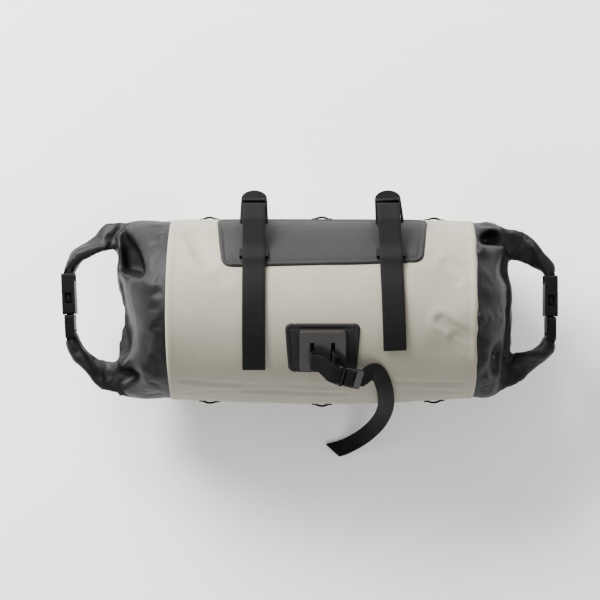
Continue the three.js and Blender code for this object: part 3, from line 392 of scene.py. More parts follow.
def rounded_path(corners):
    """A path through corners (point, radius, across), each rounded over by its own radius."""
    path = []
    arc_steps = 6
    for i, (point, radius, across) in enumerate(corners):
        if i in (0, len(corners) - 1) or not radius:
            path.append((point.copy(), across.copy()))
            continue
        back, ahead = corners[i - 1][0] - point, corners[i + 1][0] - point
        turn = math.pi - back.angle(ahead)
        reach = min(radius * math.tan(turn / 2), 0.48 * back.length, 0.48 * ahead.length)
        start, end = point + back.normalized() * reach, point + ahead.normalized() * reach
        for k in range(arc_steps + 1):
            t = k / arc_steps
            place = start * (1 - t) ** 2 + point * (2 * t * (1 - t)) + end * t ** 2
            path.append((place, across.copy()))
    return path


def webbing_piece(name, path, wide, thick, slant=0.0, columns=6):
    """Flat woven webbing along a path, with its far end cut on the slant where the real one is."""
    lengths, frames = [0.0], []
    for i, (point, across) in enumerate(path):
        before, after = path[max(i - 1, 0)][0], path[min(i + 1, len(path) - 1)][0]
        ahead = (after - before).normalized()
        frames.append((point, (across - ahead * across.dot(ahead)).normalized(), ahead))
        if i:
            lengths.append(lengths[-1] + (point - path[i - 1][0]).length)

    def place(u, v):
        i = round(v * (len(path) - 1))
        point, side, ahead = frames[i]
        left = (lengths[-1] - lengths[i]) / max(wide * 1.6, 1e-6)
        shift = slant * (0.5 - u) * max(0.0, 1.0 - left)
        return point + side * ((0.5 - u) * wide) - ahead * shift

    piece = shaped_sheet(name, columns, len(path) - 1, place,
                         lambda u, v: (u * wide * MM, lengths[round(v * (len(path) - 1))] * MM))
    add_thickness(piece, thick, 0.0, 0.35)
    return piece


def mouth_out(end, y):
    """How far out the mouth lies at a height up the cap."""
    share = min(max(y / tube_radius(), -1), 1)
    return end["reach"] * read_table(end["mouth"], share, 1)


def cap_point(end, out, angle):
    """A point on an end cap in mm, with its pocket folds and creases on the side that shows."""
    radius_full = tube_radius()
    radius = radius_full * end["section"][1]
    drift = radius_full * end["section"][2]
    height = axis_height()
    inside = min(max(out, 0), 1)
    mouth_half = 4.5
    high = radius * read_table(end["sections"], inside, 1)
    deep = mouth_half + (radius - mouth_half) * read_table(end["sections"], inside, 2)
    turn = math.radians(angle)
    y = drift + high * math.cos(turn)
    z = height + deep * math.sin(turn)
    edge = end["side"] * SIZES["body_length"] / 2
    x = edge + end["side"] * (0.3 + out * (mouth_out(end, y) - 0.3))
    point = Vector((x, y, smooth_max(z, FLOOR_GAP, FLOOR_BLEND)))
    inward = (Vector((edge, drift, height)) - point).normalized()
    keep = min(1, max(0, (1 - out) / 0.12), max(0, out / 0.12))
    for place, at, reach, round_reach, depth in end["dents"]:
        away = math.hypot((out - place) / reach, angle_between(angle, at) / round_reach)
        point += inward * (radius_full * depth * bump(away) * keep)
    rumple = noise.noise(point / 17 + Vector((3.1 * end["side"], 0, 0))) * 1.5
    rumple += noise.noise(Vector((point.x / 9, point.y / 7, point.z / 30))) * 0.55
    point += inward * (end["rumple"] * rumple * min(1, max(0, out) / 0.18))
    if 8 < angle < 172:
        fold_cap(end, point, keep, step((math.sin(turn) - 0.08) / 0.12))
    if out > 1:
        point.z = mix(point.z, height, min((out - 1) * 5, 0.8))
    return point


def fold_cap(end, point, keep, near):
    """Presses a cap's creases and pockets into a point, and raises its ridges, where it faces up."""
    height = axis_height()
    point.z -= crease_depth((point.x, point.y), end["creases"]) * keep * near
    for pocket in end["pockets"]:
        dx = (point.x - pocket["at"][0]) / pocket["reach"][0]
        dy = (point.y - pocket["at"][1]) / pocket["reach"][1]
        share = step((1 - math.hypot(dx, dy)) / pocket["wall"])
        share *= (step((point.x - pocket["from"][0]) / pocket["soft"])
                  * step((point.y - pocket["from"][1]) / pocket["soft"]))
        floor = height + pocket["floor"]
        if point.z > floor:
            point.z = mix(point.z, floor, share * near)
    for start, stop, wide, low_top, high_top in end["ridges"]:
        a, b = Vector((*start, 0)), Vector((*stop, 0))
        here = Vector((point.x, point.y, 0))
        _, along = intersect_point_line(here, a, b)
        along = min(max(along, 0), 1)
        away = (here - a.lerp(b, along)).length / wide
        top = height + mix(low_top, high_top, along)
        if point.z < top:
            point.z = mix(point.z, top, bump(away) * near)


def make_tube():
    """The light tube: one shell of coated cloth with a welded seam strip at each end."""
    length, half = SIZES["body_length"], half_length()

    def place(u, v):
        angle = u * 360
        bow = 1.9 * bump(min(abs(angle_between(angle, 90)) / 75, 1))
        x = mix(-half - bow, half + 0.5, v)
        from_end = min(half + bow + x, half - x)
        strip = 0.35 * step((6.2 - from_end) / 0.9) - 0.25 * bump(abs(from_end - 6.6) / 1.0)
        end_round = -0.9 * max(0, 1 - from_end / 1.2) ** 2
        return tube_point(x, angle, 0.15 + strip + end_round)

    def mapped(u, v):
        return v * length * MM, u * 2 * math.pi * tube_radius() * MM

    piece = shaped_sheet("tube_cloth", 216, 150, place, mapped, closed=True, outward_from=tube_axis)
    add_thickness(piece, SIZES["cloth"])
    return piece


def make_cap_skin(end):
    """The closed outer skin of an end cap, from inside the tube's seam to the rolled mouth."""

    def place(u, v):
        out = -0.14 + 1.24 * (1 - (1 - v) ** 1.15)
        point = cap_point(end, out, u * 360)
        centre = Vector((point.x, 1.4, axis_height()))
        at_seam = 0.9 * min(1, max(0, 0.06 - out) / 0.06)
        sunk = at_seam + 1.4 * step(out / 0.2) * step((1.05 - out) / 0.2)
        return point + (centre - point).normalized() * sunk

    return shaped_sheet("cap_skin", 200, 64, place, closed=True, outward_from=tube_axis)


def make_end_cloth(name, end):
    """Cap, rolled mouth and both arms of one end as one cloth, run together, eased and rumpled."""
    skins = [make_cap_skin(end), make_roll(end), make_arm(end, "upper"), make_arm(end, "lower")]
    joined = bmesh.new()
    for skin in skins:
        joined.from_mesh(skin.data)
        bpy.data.objects.remove(skin)
    rough = finish_shape("rough_cloth", joined)
    merge = rough.modifiers.new("merge", "REMESH")
    merge.mode = "VOXEL"
    merge.voxel_size = CLOTH_VOXEL * MM
    cloth = bmesh.new()
    cloth.from_mesh(rough.evaluated_get(bpy.context.evaluated_depsgraph_get()).to_mesh())
    bpy.data.objects.remove(rough)
    cut = Vector((end["side"] * (half_length() - 2.0) + FRAME_SHIFT.x, 0, 0)) * MM
    bmesh.ops.bisect_plane(cloth, geom=[*cloth.verts, *cloth.edges, *cloth.faces], plane_co=cut,
                           plane_no=(end["side"], 0, 0), clear_inner=True, dist=0.00001)
    for _ in range(3):
        bmesh.ops.smooth_vert(cloth, verts=cloth.verts, factor=0.5,
                              use_axis_x=True, use_axis_y=True, use_axis_z=True)
    rumple_cloth(cloth, end)
    piece = finish_shape(f"end_cloth_{name}", cloth)
    buckle_cloth(piece, end)
    if end["side"] > 0:
        press_in_stud(piece)
    smooth = piece.modifiers.new("smooth", "SUBSURF")
    smooth.levels = smooth.render_levels = 1
    add_thickness(piece, 0.8, even=False)
    return piece


def buckle_cloth(piece, end):
    """Cloth simulation: the cloth, cut a little too large, fills and buckles between seam and tips."""
    start = [vert.co.copy() for vert in piece.data.vertices]
    held = piece.vertex_groups.new(name="held")
    for vert in piece.data.vertices:
        out = end["side"] * (vert.co.x / MM - FRAME_SHIFT.x) - half_length()
        at_seam, at_tips = 1 - step((out - 2) / 7), step((out - end["loop"] + 24) / 10)
        on_floor = step((2.5 - vert.co.z / MM) / 2)
        held.add([vert.index], max(at_seam, at_tips, on_floor), "REPLACE")
    cloth = piece.modifiers.new("cloth", "CLOTH")
    cloth.settings.quality = 6
    cloth.settings.mass = 0.15
    cloth.settings.bending_stiffness = 0.35
    cloth.settings.shrink_min = -CLOTH_SLACK
    cloth.settings.use_pressure = True
    cloth.settings.uniform_pressure_force = 2.0
    cloth.settings.vertex_group_mass = "held"
    cloth.settings.effector_weights.gravity = 0
    first, last = 1, 20
    cloth.point_cache.frame_start, cloth.point_cache.frame_end = first, last
    for number in range(first, last + 1):
        bpy.context.scene.frame_set(number)
    settled = piece.evaluated_get(bpy.context.evaluated_depsgraph_get()).data
    ends = [vert.co.copy() for vert in settled.vertices]
    piece.modifiers.remove(cloth)
    bpy.context.scene.frame_set(first)
    most = CLOTH_MOVE * MM
    for vert, before, after in zip(piece.data.vertices, start, ends):
        move = after - before
        vert.co = before + move * (most / max(move.length, most))
        vert.co.z = max(vert.co.z, CLOTH_LOWEST)


def press_in_stud(piece):
    """Presses the cloth in behind the small stud, which is sewn on flat."""
    low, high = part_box("roll_stud")
    middle = (Vector(low) + Vector(high)) / 2
    depth, reach = 2.6 * MM, 9 * MM
    for vert in piece.data.vertices:
        vert.co.x -= depth * bump((vert.co - middle).length / reach)


def rumple_cloth(cloth, end):
    """Presses small folds into an end cloth: long soft ones on the cap, tight ones along the arms."""
    cloth.normal_update()
    moves = []
    for vert in cloth.verts:
        at = vert.co / MM - FRAME_SHIFT
        out = end["side"] * at.x - half_length()
        on_arm = step((out - end["reach"]) / 16)
        soft = noise.noise(Vector((at.x / 16, at.y / 12, at.z / 15)))
        tight = abs(noise.noise(Vector((at.x / 9, at.y / 9, at.z / 5 + 7))))
        height = 0.6 * soft * step(out / 10) + on_arm * (0.3 - 1.1 * tight)
        moves.append((vert, vert.normal * (height * MM)))
    for vert, move in moves:
        vert.co += move
        vert.co.z = max(vert.co.z, CLOTH_LOWEST)


def arm_root(end):
    return end["reach"] * max(row[1] for row in end["mouth"]) + 0.3


def arm_middle(end, out, up):
    """A point on the middle line of an arm, by its share of the way out and of the way up."""
    root = arm_root(end)
    reach = root + out * (end["loop"] - root)
    return Vector((end["side"] * (half_length() + reach), tube_radius() * up, axis_height()))


def bundle_ring(middle, ahead, wide, thick, turn, angle, seed):
    """A point on the rumpled skin of a wound bundle of cloth."""
    flat = Vector((-ahead.y, ahead.x, 0)).normalized()
    wide_way = UP * math.cos(turn) + flat * math.sin(turn)
    thin_way = wide_way.cross(ahead).normalized()
    c, s = math.cos(angle), math.sin(angle)
    w = math.copysign(abs(c) ** 0.6, c)
    t = math.copysign(abs(s) ** 0.6, s)
    layers = 0.35 * math.cos(t * 9.0) * step((abs(c) - 0.72) / 0.2)
    place = Vector((middle.x / 13 + seed, middle.y / 13, w * 1.1))
    fine = abs(noise.noise(place * 2.1 + Vector((0, 0, t * 0.6))))
    fold = noise.noise(place) * 1.6 + fine * 1.3 - 0.4
    return (middle + wide_way * (w * (wide / 2 - layers)) + thin_way * (t * (thick / 2 + fold * abs(s)))
            + wide_way * (w * fold * 0.25))


def make_arm(end, which):
    """One end of a rolled mouth, from inside its cap out to its buckle's end bar."""
    rows = end[which]
    far = rows[-1][0]
    seed = 5.0 * end["side"] + (2.3 if which == "upper" else 0)
    swell = 5.5 if which == "lower" else 3.0

    def row_at(share):
        out = far * share
        return arm_middle(end, out, read_table(rows, out, 1))

    def place(u, v):
        share = mix(-0.30, 1.10, v)
        out = far * share
        inside = max(out, 0)
        ahead = (row_at(share + 0.02) - row_at(share - 0.02)).normalized()
        thick = 9.5 * (1 - 0.3 * step((0.12 - v) / 0.12)) + swell * step((share - 0.55) / 0.35)
        middle = arm_middle(end, out, read_table(rows, min(inside, far), 1))
        if out > far:
            to_buckle = buckle_end(end, which) - row_at(1.0)
            middle = row_at(1.0) + to_buckle * ((share - 1) / 0.074)
            ahead = ahead.lerp(to_buckle.normalized(), 0.6).normalized()
        wide, turn = ARM_WIDE * read_table(rows, inside, 2), math.radians(read_table(rows, inside, 3))
        return bundle_ring(middle, ahead, wide, thick, turn, u * 2 * math.pi, seed)

    return shaped_sheet("arm_skin", 48, 46, place, closed=True, outward_from=lambda at: world(row_at(0.5)))


def make_roll(end):
    """The rolled mouth between the arms, twisted where the photograph shows its face."""
    overlap, roll_thick = 5, 6.4

    def edge(row, sign):
        return tube_radius() * row[1] + sign * ARM_WIDE * row[2] / 2

    low = max(edge(row, 1) for row in end["lower"][:2]) - overlap
    high = min(edge(row, -1) for row in end["upper"][:2]) + overlap

    def middle(share):
        y = mix(low, high, share)
        return Vector((end["side"] * (half_length() + mouth_out(end, y) + 3.9), y, axis_height()))

    def place(u, v):
        ahead = (middle(v + 0.04) - middle(v - 0.04)).normalized()
        turn = math.radians(read_table(end["roll_turns"], v, 1))
        leant = Vector((-end["side"] * abs(math.sin(turn)) * 10, 0, 0))
        seed = 9.0 * end["side"]
        return bundle_ring(middle(v) + leant, ahead, ROLL_WIDE, roll_thick, turn, u * 2 * math.pi, seed)

    return shaped_sheet("roll_skin", 44, 60, place, closed=True, outward_from=lambda at: world(middle(0.5)))


def welded_patch(name, top, bottom, top_angle, bottom_angle_at, corner, thick, rim):
    """A welded patch that follows the tube, with round corners and a raised rim round its edge."""
    arc = math.radians(bottom_angle_at(0) - top_angle) * tube_radius()

    def inset(edge):
        return corner - math.sqrt(max(corner ** 2 - (corner - edge) ** 2, 0)) if edge < corner else 0

    def spread(share):
        return share - 0.055 * math.sin(share * math.tau)

    def place(u, v):
        down = spread(v)
        edge = min(down, 1 - down) * arc
        half = mix(top, bottom, down) / 2 - inset(edge)
        across = spread(u)
        x = half * (2 * across - 1)
        side = min(across, 1 - across) * 2 * half
        from_edge = min(edge, side)
        if edge < corner and side < corner:
            from_edge = max(0, corner - math.hypot(corner - edge, corner - side - inset(edge)))
        lift = 0.2 + (thick + 0.35) * step(from_edge / 0.9)
        lift += rim * bump(abs(from_edge - 2.2) / 1.9) - 0.3 * bump(abs(from_edge - 4.9) / 1.6)
        angle = mix(top_angle, bottom_angle_at(x), down)
        return tube_point(x, angle, lift, plain=True)

    return shaped_sheet(name, 120, 70, place, lambda u, v: (u * top * MM, v * arc * MM),
                        outward_from=tube_axis)


def make_panels():
    """The handlebar panel and the small patch, both welded on."""
    panel = welded_patch("handlebar_panel_laminate", top=194, bottom=182, top_angle=12,
                         bottom_angle_at=lambda x: mix(62.5, 58.8, x / 182 + 0.5),
                         corner=9, thick=1.2, rim=0.5)
    patch = welded_patch("anchor_patch_laminate", top=68.2, bottom=61.5, top_angle=96.8,
                         bottom_angle_at=lambda x: 129.3, corner=6, thick=1.0, rim=0.4)
    return panel, patch


# The round-topped ladder lock: its slope, its length's way and its face's way, and how far its
# top stands out from the tube and above the tube's axis in mm
LOCK_SLOPE = math.radians(24.5)
LOCK_ALONG = Vector((0, math.cos(LOCK_SLOPE), -math.sin(LOCK_SLOPE)))
LOCK_OUT = Vector((0, math.sin(LOCK_SLOPE), math.cos(LOCK_SLOPE)))
LOCK_REACH = 24
LOCK_HEIGHT = 53.5
LOCK_HALF_LENGTH = 16.2


def beside_lock(along, out):
    """A place by a ladder lock's middle, along its length and out from its face."""
    from_axis = tube_radius() + LOCK_REACH - LOCK_HALF_LENGTH * math.cos(LOCK_SLOPE)
    return Vector((0, from_axis, axis_height() + LOCK_HEIGHT)) + LOCK_ALONG * along + LOCK_OUT * out


def strap_path(strap, route):
    """A rounded path through a strap's route, carried along the bag and leant where it leans."""
    middle, lean, _ = strap
    slope = math.tan(math.radians(lean))
    corners = []
    for point, radius in route:
        x = middle - slope * (point.y - SIZES["body_diameter"] / 4)
        corners.append((Vector((x, point.y, point.z)), radius, RIGHT))
    return rounded_path(corners)


def on_tube(angle, lift):
    point = tube_point(0, angle, lift, plain=True)
    return Vector((0, point.y, point.z))


def make_handlebar_strap(name, strap):
    """Webbing from the panel, out round the handlebar's place, through its lock and down the bag."""
    on_panel, over_keeper, on_cloth, face = 2.8, 6.8, 1.5, 5.8
    radius = tube_radius()
    loop_height = axis_height() + (LOCK_HEIGHT - LOCK_REACH - 15)
    route = [
        (on_tube(28, on_panel), 0), (on_tube(21, on_panel), 40), (on_tube(14.5, on_panel), 40),
        (Vector((0, radius + 4.5, loop_height - 3)), 6), (Vector((0, radius + 17, loop_height - 2)), 6),
        (beside_lock(15.5, -8), 7), (beside_lock(1.25, -face), 2.4), (beside_lock(1.25, face), 2.4),
        (beside_lock(-15, face + 0.6), 12), (on_tube(50, over_keeper), 20),
        (on_tube(57, over_keeper), 14), (on_tube(62, on_panel + 0.6), 30),
    ]
    tail_start, tail_end, pitch = 67, strap[2], 6
    angle = tail_start
    while angle < tail_end:
        route.append((on_tube(angle, max(on_cloth, on_panel - (angle - tail_start) * 0.04)), 60))
        angle += pitch
    route.append((on_tube(tail_end, on_cloth), 0))
    wide = SIZES["strap_wide"] + 0.6
    return webbing_piece(f"handlebar_webbing_{name}", strap_path(strap, route), wide, 1.6)


def make_anchor_web(name, strap):
    """The short fixed webbing under a handlebar strap, folded round its lock's lower bar."""
    on_panel, face = 2.8, 1.8 + 0.3 + 0.8
    route = [
        (on_tube(60, on_panel), 0), (on_tube(53.5, on_panel), 40), (on_tube(48.5, on_panel), 20),
        (beside_lock(-17.5, -face - 0.4), 8), (beside_lock(-10.5, -face), 2),
        (beside_lock(-10.5, face), 2), (beside_lock(-16.5, face), 0),
    ]
    return webbing_piece(f"anchor_webbing_{name}", strap_path(strap, route), SIZES["strap_wide"], 1.6)


def plate_frame():
    """Middle, up and out of the moulded plate's outer face."""
    angle, lift = 112.7, 6.6
    turn = math.radians(angle)
    out = Vector((0, math.cos(turn), math.sin(turn)))
    return tube_point(0, angle, lift, plain=True), out.cross(RIGHT), out


def beside_plate(x, up, out):
    origin, up_way, out_way = plate_frame()
    return origin + RIGHT * x + up_way * up + out_way * out


def head_lock_frame():
    """Middle, length's way, face and width of the head strap's small lock."""
    _, up_way, out_way = plate_frame()
    along = (RIGHT * 0.978 - up_way * 0.26 - out_way * 0.08).normalized()
    out = (out_way - along * out_way.dot(along)).normalized()
    return beside_plate(23.2, -21.5, 8.2), along, out, out.cross(along)


def make_head_strap():
    """The narrow strap round its lock, through the plate and out again, with its long free tail."""
    _, up_way, _ = plate_frame()
    middle, along_way, out_way, lock_up = head_lock_frame()
    # Half the lock, a gap and half the webbing; the webbing lies at the slots' lower ends
    face = 1.2 + 0.3 + 0.7
    in_slot = -3.4 - 11.75 + 7.5 + 0.5
    slot = 9.25

    def in_lock(along, out, radius=0.0):
        return (middle + along_way * along + out_way * out, radius, lock_up)

    def in_plate(x, out, radius):
        return (beside_plate(x, in_slot, out), radius, up_way)

    between = (up_way + lock_up).normalized()
    corners = [
        in_lock(-16.5, -face), in_lock(-9.1, -face, 1.5), in_lock(-9.1, face, 1.5),
        in_lock(-15, face + 0.4, 8), in_plate(-2, 9, 14), in_plate(-slot - 2.5, 7.5, 4),
        in_plate(-slot, 3, 4), in_plate(-slot, -3.2, 1.8), in_plate(slot, -3.2, 1.8),
        in_plate(slot, 3.4, 2), (beside_plate(slot + 5, in_slot - 5, 4), 4, between),
        in_lock(-2.7, -face - 2, 2), in_lock(-2.7, face, 1.5), in_lock(4.2, face, 1.5),
        in_lock(4.2, -face, 1.5), in_lock(12, -face),
    ]
    path = rounded_path(corners)[:-1]
    knots = [middle + along_way * 8 - out_way * face, middle + along_way * 12.5 - out_way * (face + 0.2)]
    knots += [Vector((x, y, axis_height() + z)) for x, y, z in HEAD_TAIL]
    tail = spline_points(knots, 90)
    for i, point in enumerate(tail):
        share = i / (len(tail) - 1)
        ahead = tail[min(i + 1, len(tail) - 1)] - tail[max(i - 1, 0)]
        level = UP.cross(ahead).normalized()
        path.append((point, lock_up.lerp(level, min(share / 0.16, 1)).normalized()))
    return webbing_piece("head_webbing", path, SIZES["head_wide"], 1.4, slant=9.5, columns=4)


def spline_points(knots, count):
    """Evenly spaced points on a smooth curve through the knots, with centripetal spacing."""
    ends = [knots[0] * 2 - knots[1], *knots, knots[-1] * 2 - knots[-2]]
    dense, steps = [], 24
    for p0, p1, p2, p3 in zip(ends, ends[1:], ends[2:], ends[3:]):
        t1 = (p1 - p0).length ** 0.5
        t2 = t1 + (p2 - p1).length ** 0.5
        t3 = t2 + (p3 - p2).length ** 0.5
        for k in range(steps):
            t = mix(t1, t2, k / steps)
            a1, a2 = p0.lerp(p1, t / t1), p1.lerp(p2, (t - t1) / (t2 - t1))
            a3 = p2.lerp(p3, (t - t2) / (t3 - t2))
            b1, b2 = a1.lerp(a2, t / t2), a2.lerp(a3, (t - t1) / (t3 - t1))
            dense.append(b1.lerp(b2, (t - t1) / (t2 - t1)))
    dense.append(knots[-1].copy())
    lengths = [0.0]
    for a, b in zip(dense, dense[1:]):
        lengths.append(lengths[-1] + (b - a).length)
    points, i = [], 0
    for k in range(count + 1):
        target = lengths[-1] * k / count
        while i < len(dense) - 2 and lengths[i + 1] < target:
            i += 1
        share = (target - lengths[i]) / max(lengths[i + 1] - lengths[i], 1e-9)
        points.append(dense[i].lerp(dense[i + 1], min(share, 1)))
    return points


def beside_buckle(end, x, y):
    """A place by the middle of an end's buckle, turned as the buckle is."""
    middle = Vector((end["side"] * (half_length() + end["loop"] - 6), tube_radius() * end["clip_up"],
                     axis_height()))
    return middle + Matrix.Rotation(math.radians(end["clip_tilt"]), 3, "Z") @ Vector((x, y, 0))


def buckle_end(end, which):
    """Where the buckle's end bar lies, which the arm's cloth reaches."""
    return beside_buckle(end, 0, 30.5 if which == "upper" else -30.5)


def make_clip_web(name, end, which):
    """Webbing from an arm's tip round its buckle's end bar and back."""
    sign = 1 if which == "upper" else -1
    rows = end[which]
    tip = arm_middle(end, rows[-1][0], rows[-1][1])
    ahead = (tip - arm_middle(end, rows[-2][0], rows[-2][1])).normalized()
    # Half the bar, a gap and half the webbing
    face = 2 + 0.3 + 0.75
    bar_end = sign * 30
    slot_middle = bar_end - sign * (3.5 + 2.1)
    start = tip + ahead * 1.05
    beside = Vector((-ahead.y, ahead.x, 0)) * (sign * 0.9)
    inside = tip - ahead * 6
    path = rounded_path([
        (inside + beside, 0, UP), (start + beside, 6, UP),
        (beside_buckle(end, face, bar_end + sign), 3, UP), (beside_buckle(end, face, slot_middle), 1.6, UP),
        (beside_buckle(end, -face, slot_middle), 1.6, UP), (beside_buckle(end, -face, bar_end + sign), 3, UP),
        (start - beside, 6, UP), (inside - beside, 0, UP),
    ])
    return webbing_piece(f"clip_webbing_{name}_{which}", path, 20, 1.5, columns=4)


def make_lash_loops():
    """Small webbing bridges on both silhouettes of the tube, each with its two sewn feet."""
    rises = [0, 0, 0.05, 0.35, 0.75, 0.95, 1, 0.95, 0.75, 0.35, 0.05, 0, 0]
    apart, long, high = 104, 19, 1.7
    made = []
    for edge, angle in (("top", -5), ("bottom", 184)):
        turn = math.radians(angle)
        across = Vector((0, -math.sin(turn), math.cos(turn)))
        for number in (1, 2, 3):
            path = []
            for i, rise in enumerate(rises):
                x = (number - 2) * apart + long * (i / 12 - 0.5)
                path.append((tube_point(x, angle, 0.9 + rise * high, plain=True), across))
            made.append((webbing_piece(f"lash_webbing_{edge}_{number}", path, 8, 1.2, columns=2),
                         f"lash_loop_{edge}_{number}"))
    return made


def softened_copy(node, name, width, segments=2):
    """A moulded copy of a CAD node: merged, its flat faces cleaned and its hard edges rounded."""
    hard_turn = math.radians(28)
    shape = bmesh.new()
    shape.from_mesh(frame["nodes"][node].data)
    shape.transform(frame["nodes"][node].matrix_world)
    bmesh.ops.remove_doubles(shape, verts=shape.verts, dist=0.000005)
    bmesh.ops.dissolve_limit(shape, angle_limit=math.radians(1.5), verts=shape.verts, edges=shape.edges)
    hard = [edge for edge in shape.edges
            if len(edge.link_faces) == 2 and edge.calc_face_angle(0) > hard_turn]
    bmesh.ops.bevel(shape, geom=hard, offset=width * MM, segments=segments, profile=0.5, affect="EDGES",
                    clamp_overlap=True, material=-1)
    piece = finish_shape(name, shape)
    piece.modifiers.new("faces", "WEIGHTED_NORMAL").keep_sharp = False
    return piece


def linear(hex_colour):
    """An sRGB hex colour as linear values."""
    values = [int(hex_colour[i:i + 2], 16) / 255 for i in (0, 2, 4)]
    return tuple(v / 12.92 if v <= 0.04045 else ((v + 0.055) / 1.055) ** 2.4 for v in values) + (1.0,)


def shade(hex_colour, factor):
    return tuple(min(v * factor, 1.0) for v in linear(hex_colour)[:3]) + (1.0,)


def add_node(tree, kind, inputs, **settings):
    """Adds a shader node with its settings, and its inputs as values or as sockets to link."""
    node = tree.nodes.new("ShaderNode" + kind)
    for name, value in settings.items():
        setattr(node, name, value)
    for key, value in inputs.items():
        if isinstance(value, bpy.types.NodeSocket):
            tree.links.new(value, node.inputs[key])
        else:
            node.inputs[key].default_value = value
    return node.outputs


def new_material(name):
    """An empty node material and its tree."""
    material = bpy.data.materials.new(name)
    material.use_nodes = True
    material.node_tree.nodes.clear()
    return material, material.node_tree


def finish_material(tree, inputs):
    surface = add_node(tree, "BsdfPrincipled", inputs)["BSDF"]
    add_node(tree, "OutputMaterial", {"Surface": surface})


def wave_scale(pitch_mm):
    """Scale of a wave texture whose bands lie one pitch apart on coordinates in metres."""
    return 2 * math.pi / (20 * pitch_mm * MM)


def coated_cloth(name, colour, thread, weave, roughness, mottle, gloss, sheen=0.0, follows_map=True):
    """Coated nylon cloth: plain weave under a thin film, with faint mottling and rumples."""
    material, tree = new_material(name)
    place = add_node(tree, "TexCoord", {})["Object"]
    mapped = add_node(tree, "UVMap", {}, uv_map="UVMap")["UV"] if follows_map else place
    warp, weft = (add_node(tree, "TexWave", {"Vector": mapped, "Scale": wave_scale(thread), "Distortion": 0.6,
                                             "Detail": 1.0}, bands_direction=way)["Fac"] for way in "XY")
    threads = add_node(tree, "Math", {0: warp, 1: weft}, operation="MULTIPLY")[0]
    fleck, patchy, rumple = (
        add_node(tree, "TexNoise", {"Vector": place, "Scale": scale, "Detail": detail})["Fac"]
        for scale, detail in ((420.0, 3.0), (22.0, 4.0), (60.0, 5.0)))
    stained = add_node(tree, "Math", {0: fleck, 1: 0.45, 2: patchy}, operation="MULTIPLY_ADD")[0]
    tone = add_node(tree, "MapRange", {"Value": stained, "From Min": 0.45, "From Max": 1.0})[0]
    base = add_node(tree, "Mix", {0: tone, 6: shade(colour, 1 - mottle), 7: shade(colour, 1 + mottle)},
                    data_type="RGBA")[2]
    woven = add_node(tree, "MapRange", {"Value": threads, "To Min": 1 - weave, "To Max": 1.0})[0]
    mixed = add_node(tree, "Mix", {0: 1.0, 6: base, 7: woven}, data_type="RGBA", blend_type="MULTIPLY")[2]
    rough = add_node(tree, "MapRange", {"Value": patchy, "To Min": roughness - 0.07,
                                        "To Max": roughness + 0.08})[0]
    soft = add_node(tree, "Bump", {"Strength": 0.25, "Distance": 0.0012, "Height": rumple})[0]
    fine = add_node(tree, "Bump", {"Strength": 0.35, "Distance": 0.00025, "Height": threads,
                                   "Normal": soft})[0]
    finish_material(tree, {"Base Color": mixed, "Roughness": rough, "Normal": fine, "Sheen Weight": sheen,
                           "Sheen Roughness": 0.4, "IOR": 1.5, "Specular IOR Level": gloss})
    return material


def woven_webbing(name, colour, pitch):
    """Nylon webbing: ribs across it and a fine herringbone."""
    material, tree = new_material(name)
    place = add_node(tree, "TexCoord", {})["Object"]
    mapped = add_node(tree, "UVMap", {}, uv_map="UVMap")["UV"]
    ribs = add_node(tree, "TexWave", {"Vector": mapped, "Scale": wave_scale(pitch), "Distortion": 0.4,
                                      "Detail": 1.0}, bands_direction="Y")["Fac"]
    lines = add_node(tree, "TexWave", {"Vector": mapped, "Scale": wave_scale(pitch * 0.8), "Distortion": 0.8},
                     bands_direction="X")["Fac"]
    height = add_node(tree, "Math", {0: lines, 1: 0.5, 2: ribs}, operation="MULTIPLY_ADD")[0]
    fibre = add_node(tree, "TexNoise", {"Vector": place, "Scale": 700.0, "Detail": 2.0})["Fac"]
    dust = add_node(tree, "TexNoise", {"Vector": place, "Scale": 30.0, "Detail": 3.0})["Fac"]
    mixed = add_node(tree, "Math", {0: height, 1: 0.35, 2: fibre}, operation="MULTIPLY_ADD")[0]
    tone = add_node(tree, "Math", {0: mixed, 1: dust}, operation="MULTIPLY")[0]
    spread = add_node(tree, "MapRange", {"Value": tone, "From Min": 0.15, "From Max": 0.6})[0]
    base = add_node(tree, "Mix", {0: spread, 6: shade(colour, 0.62), 7: shade(colour, 1.3)},
                    data_type="RGBA")[2]
    relief = add_node(tree, "Bump", {"Strength": 0.4, "Distance": 0.0003, "Height": height})[0]
    finish_material(tree, {"Base Color": base, "Roughness": 0.72, "Normal": relief, "Sheen Weight": 0.01,
                           "Sheen Roughness": 0.5, "IOR": 1.5, "Specular IOR Level": 0.14})
    return material


def moulded_plastic(name, colour, roughness, grain, edge_highlight, gloss):
    """Injection-moulded plastic: fine mould grain, and its sharp edges painted paler as a painted highlight.
    """
    material, tree = new_material(name)
    place = add_node(tree, "TexCoord", {})["Object"]
    speck = add_node(tree, "TexNoise", {"Vector": place, "Scale": grain, "Detail": 3.0})["Fac"]
    flow = add_node(tree, "TexNoise", {"Vector": place, "Scale": 45.0, "Detail": 2.0})["Fac"]
    # Painted highlight: sharp convex edges are painted paler, up to the given share
    edge = add_node(tree, "NewGeometry", {})["Pointiness"]
    painted_edge_highlight = add_node(tree, "MapRange", {"Value": edge, "From Min": 0.52, "From Max": 0.62,
                                         "To Max": edge_highlight})[0]
    base = add_node(tree, "Mix", {0: flow, 6: shade(colour, 0.85), 7: shade(colour, 1.15)},
                    data_type="RGBA")[2]
    # The paler colour on the edges is a painted highlight
    pale = add_node(tree, "Mix", {0: painted_edge_highlight, 6: base, 7: shade(colour, 2.6)}, data_type="RGBA")[2]
    rough = add_node(tree, "MapRange", {"Value": speck, "To Min": roughness - 0.06,
                                        "To Max": roughness + 0.08})[0]
    relief = add_node(tree, "Bump", {"Strength": 0.2, "Distance": 0.0001, "Height": speck})[0]
    finish_material(tree, {"Base Color": pale, "Roughness": rough, "Normal": relief, "IOR": 1.48,
                           "Specular IOR Level": gloss})
    return material
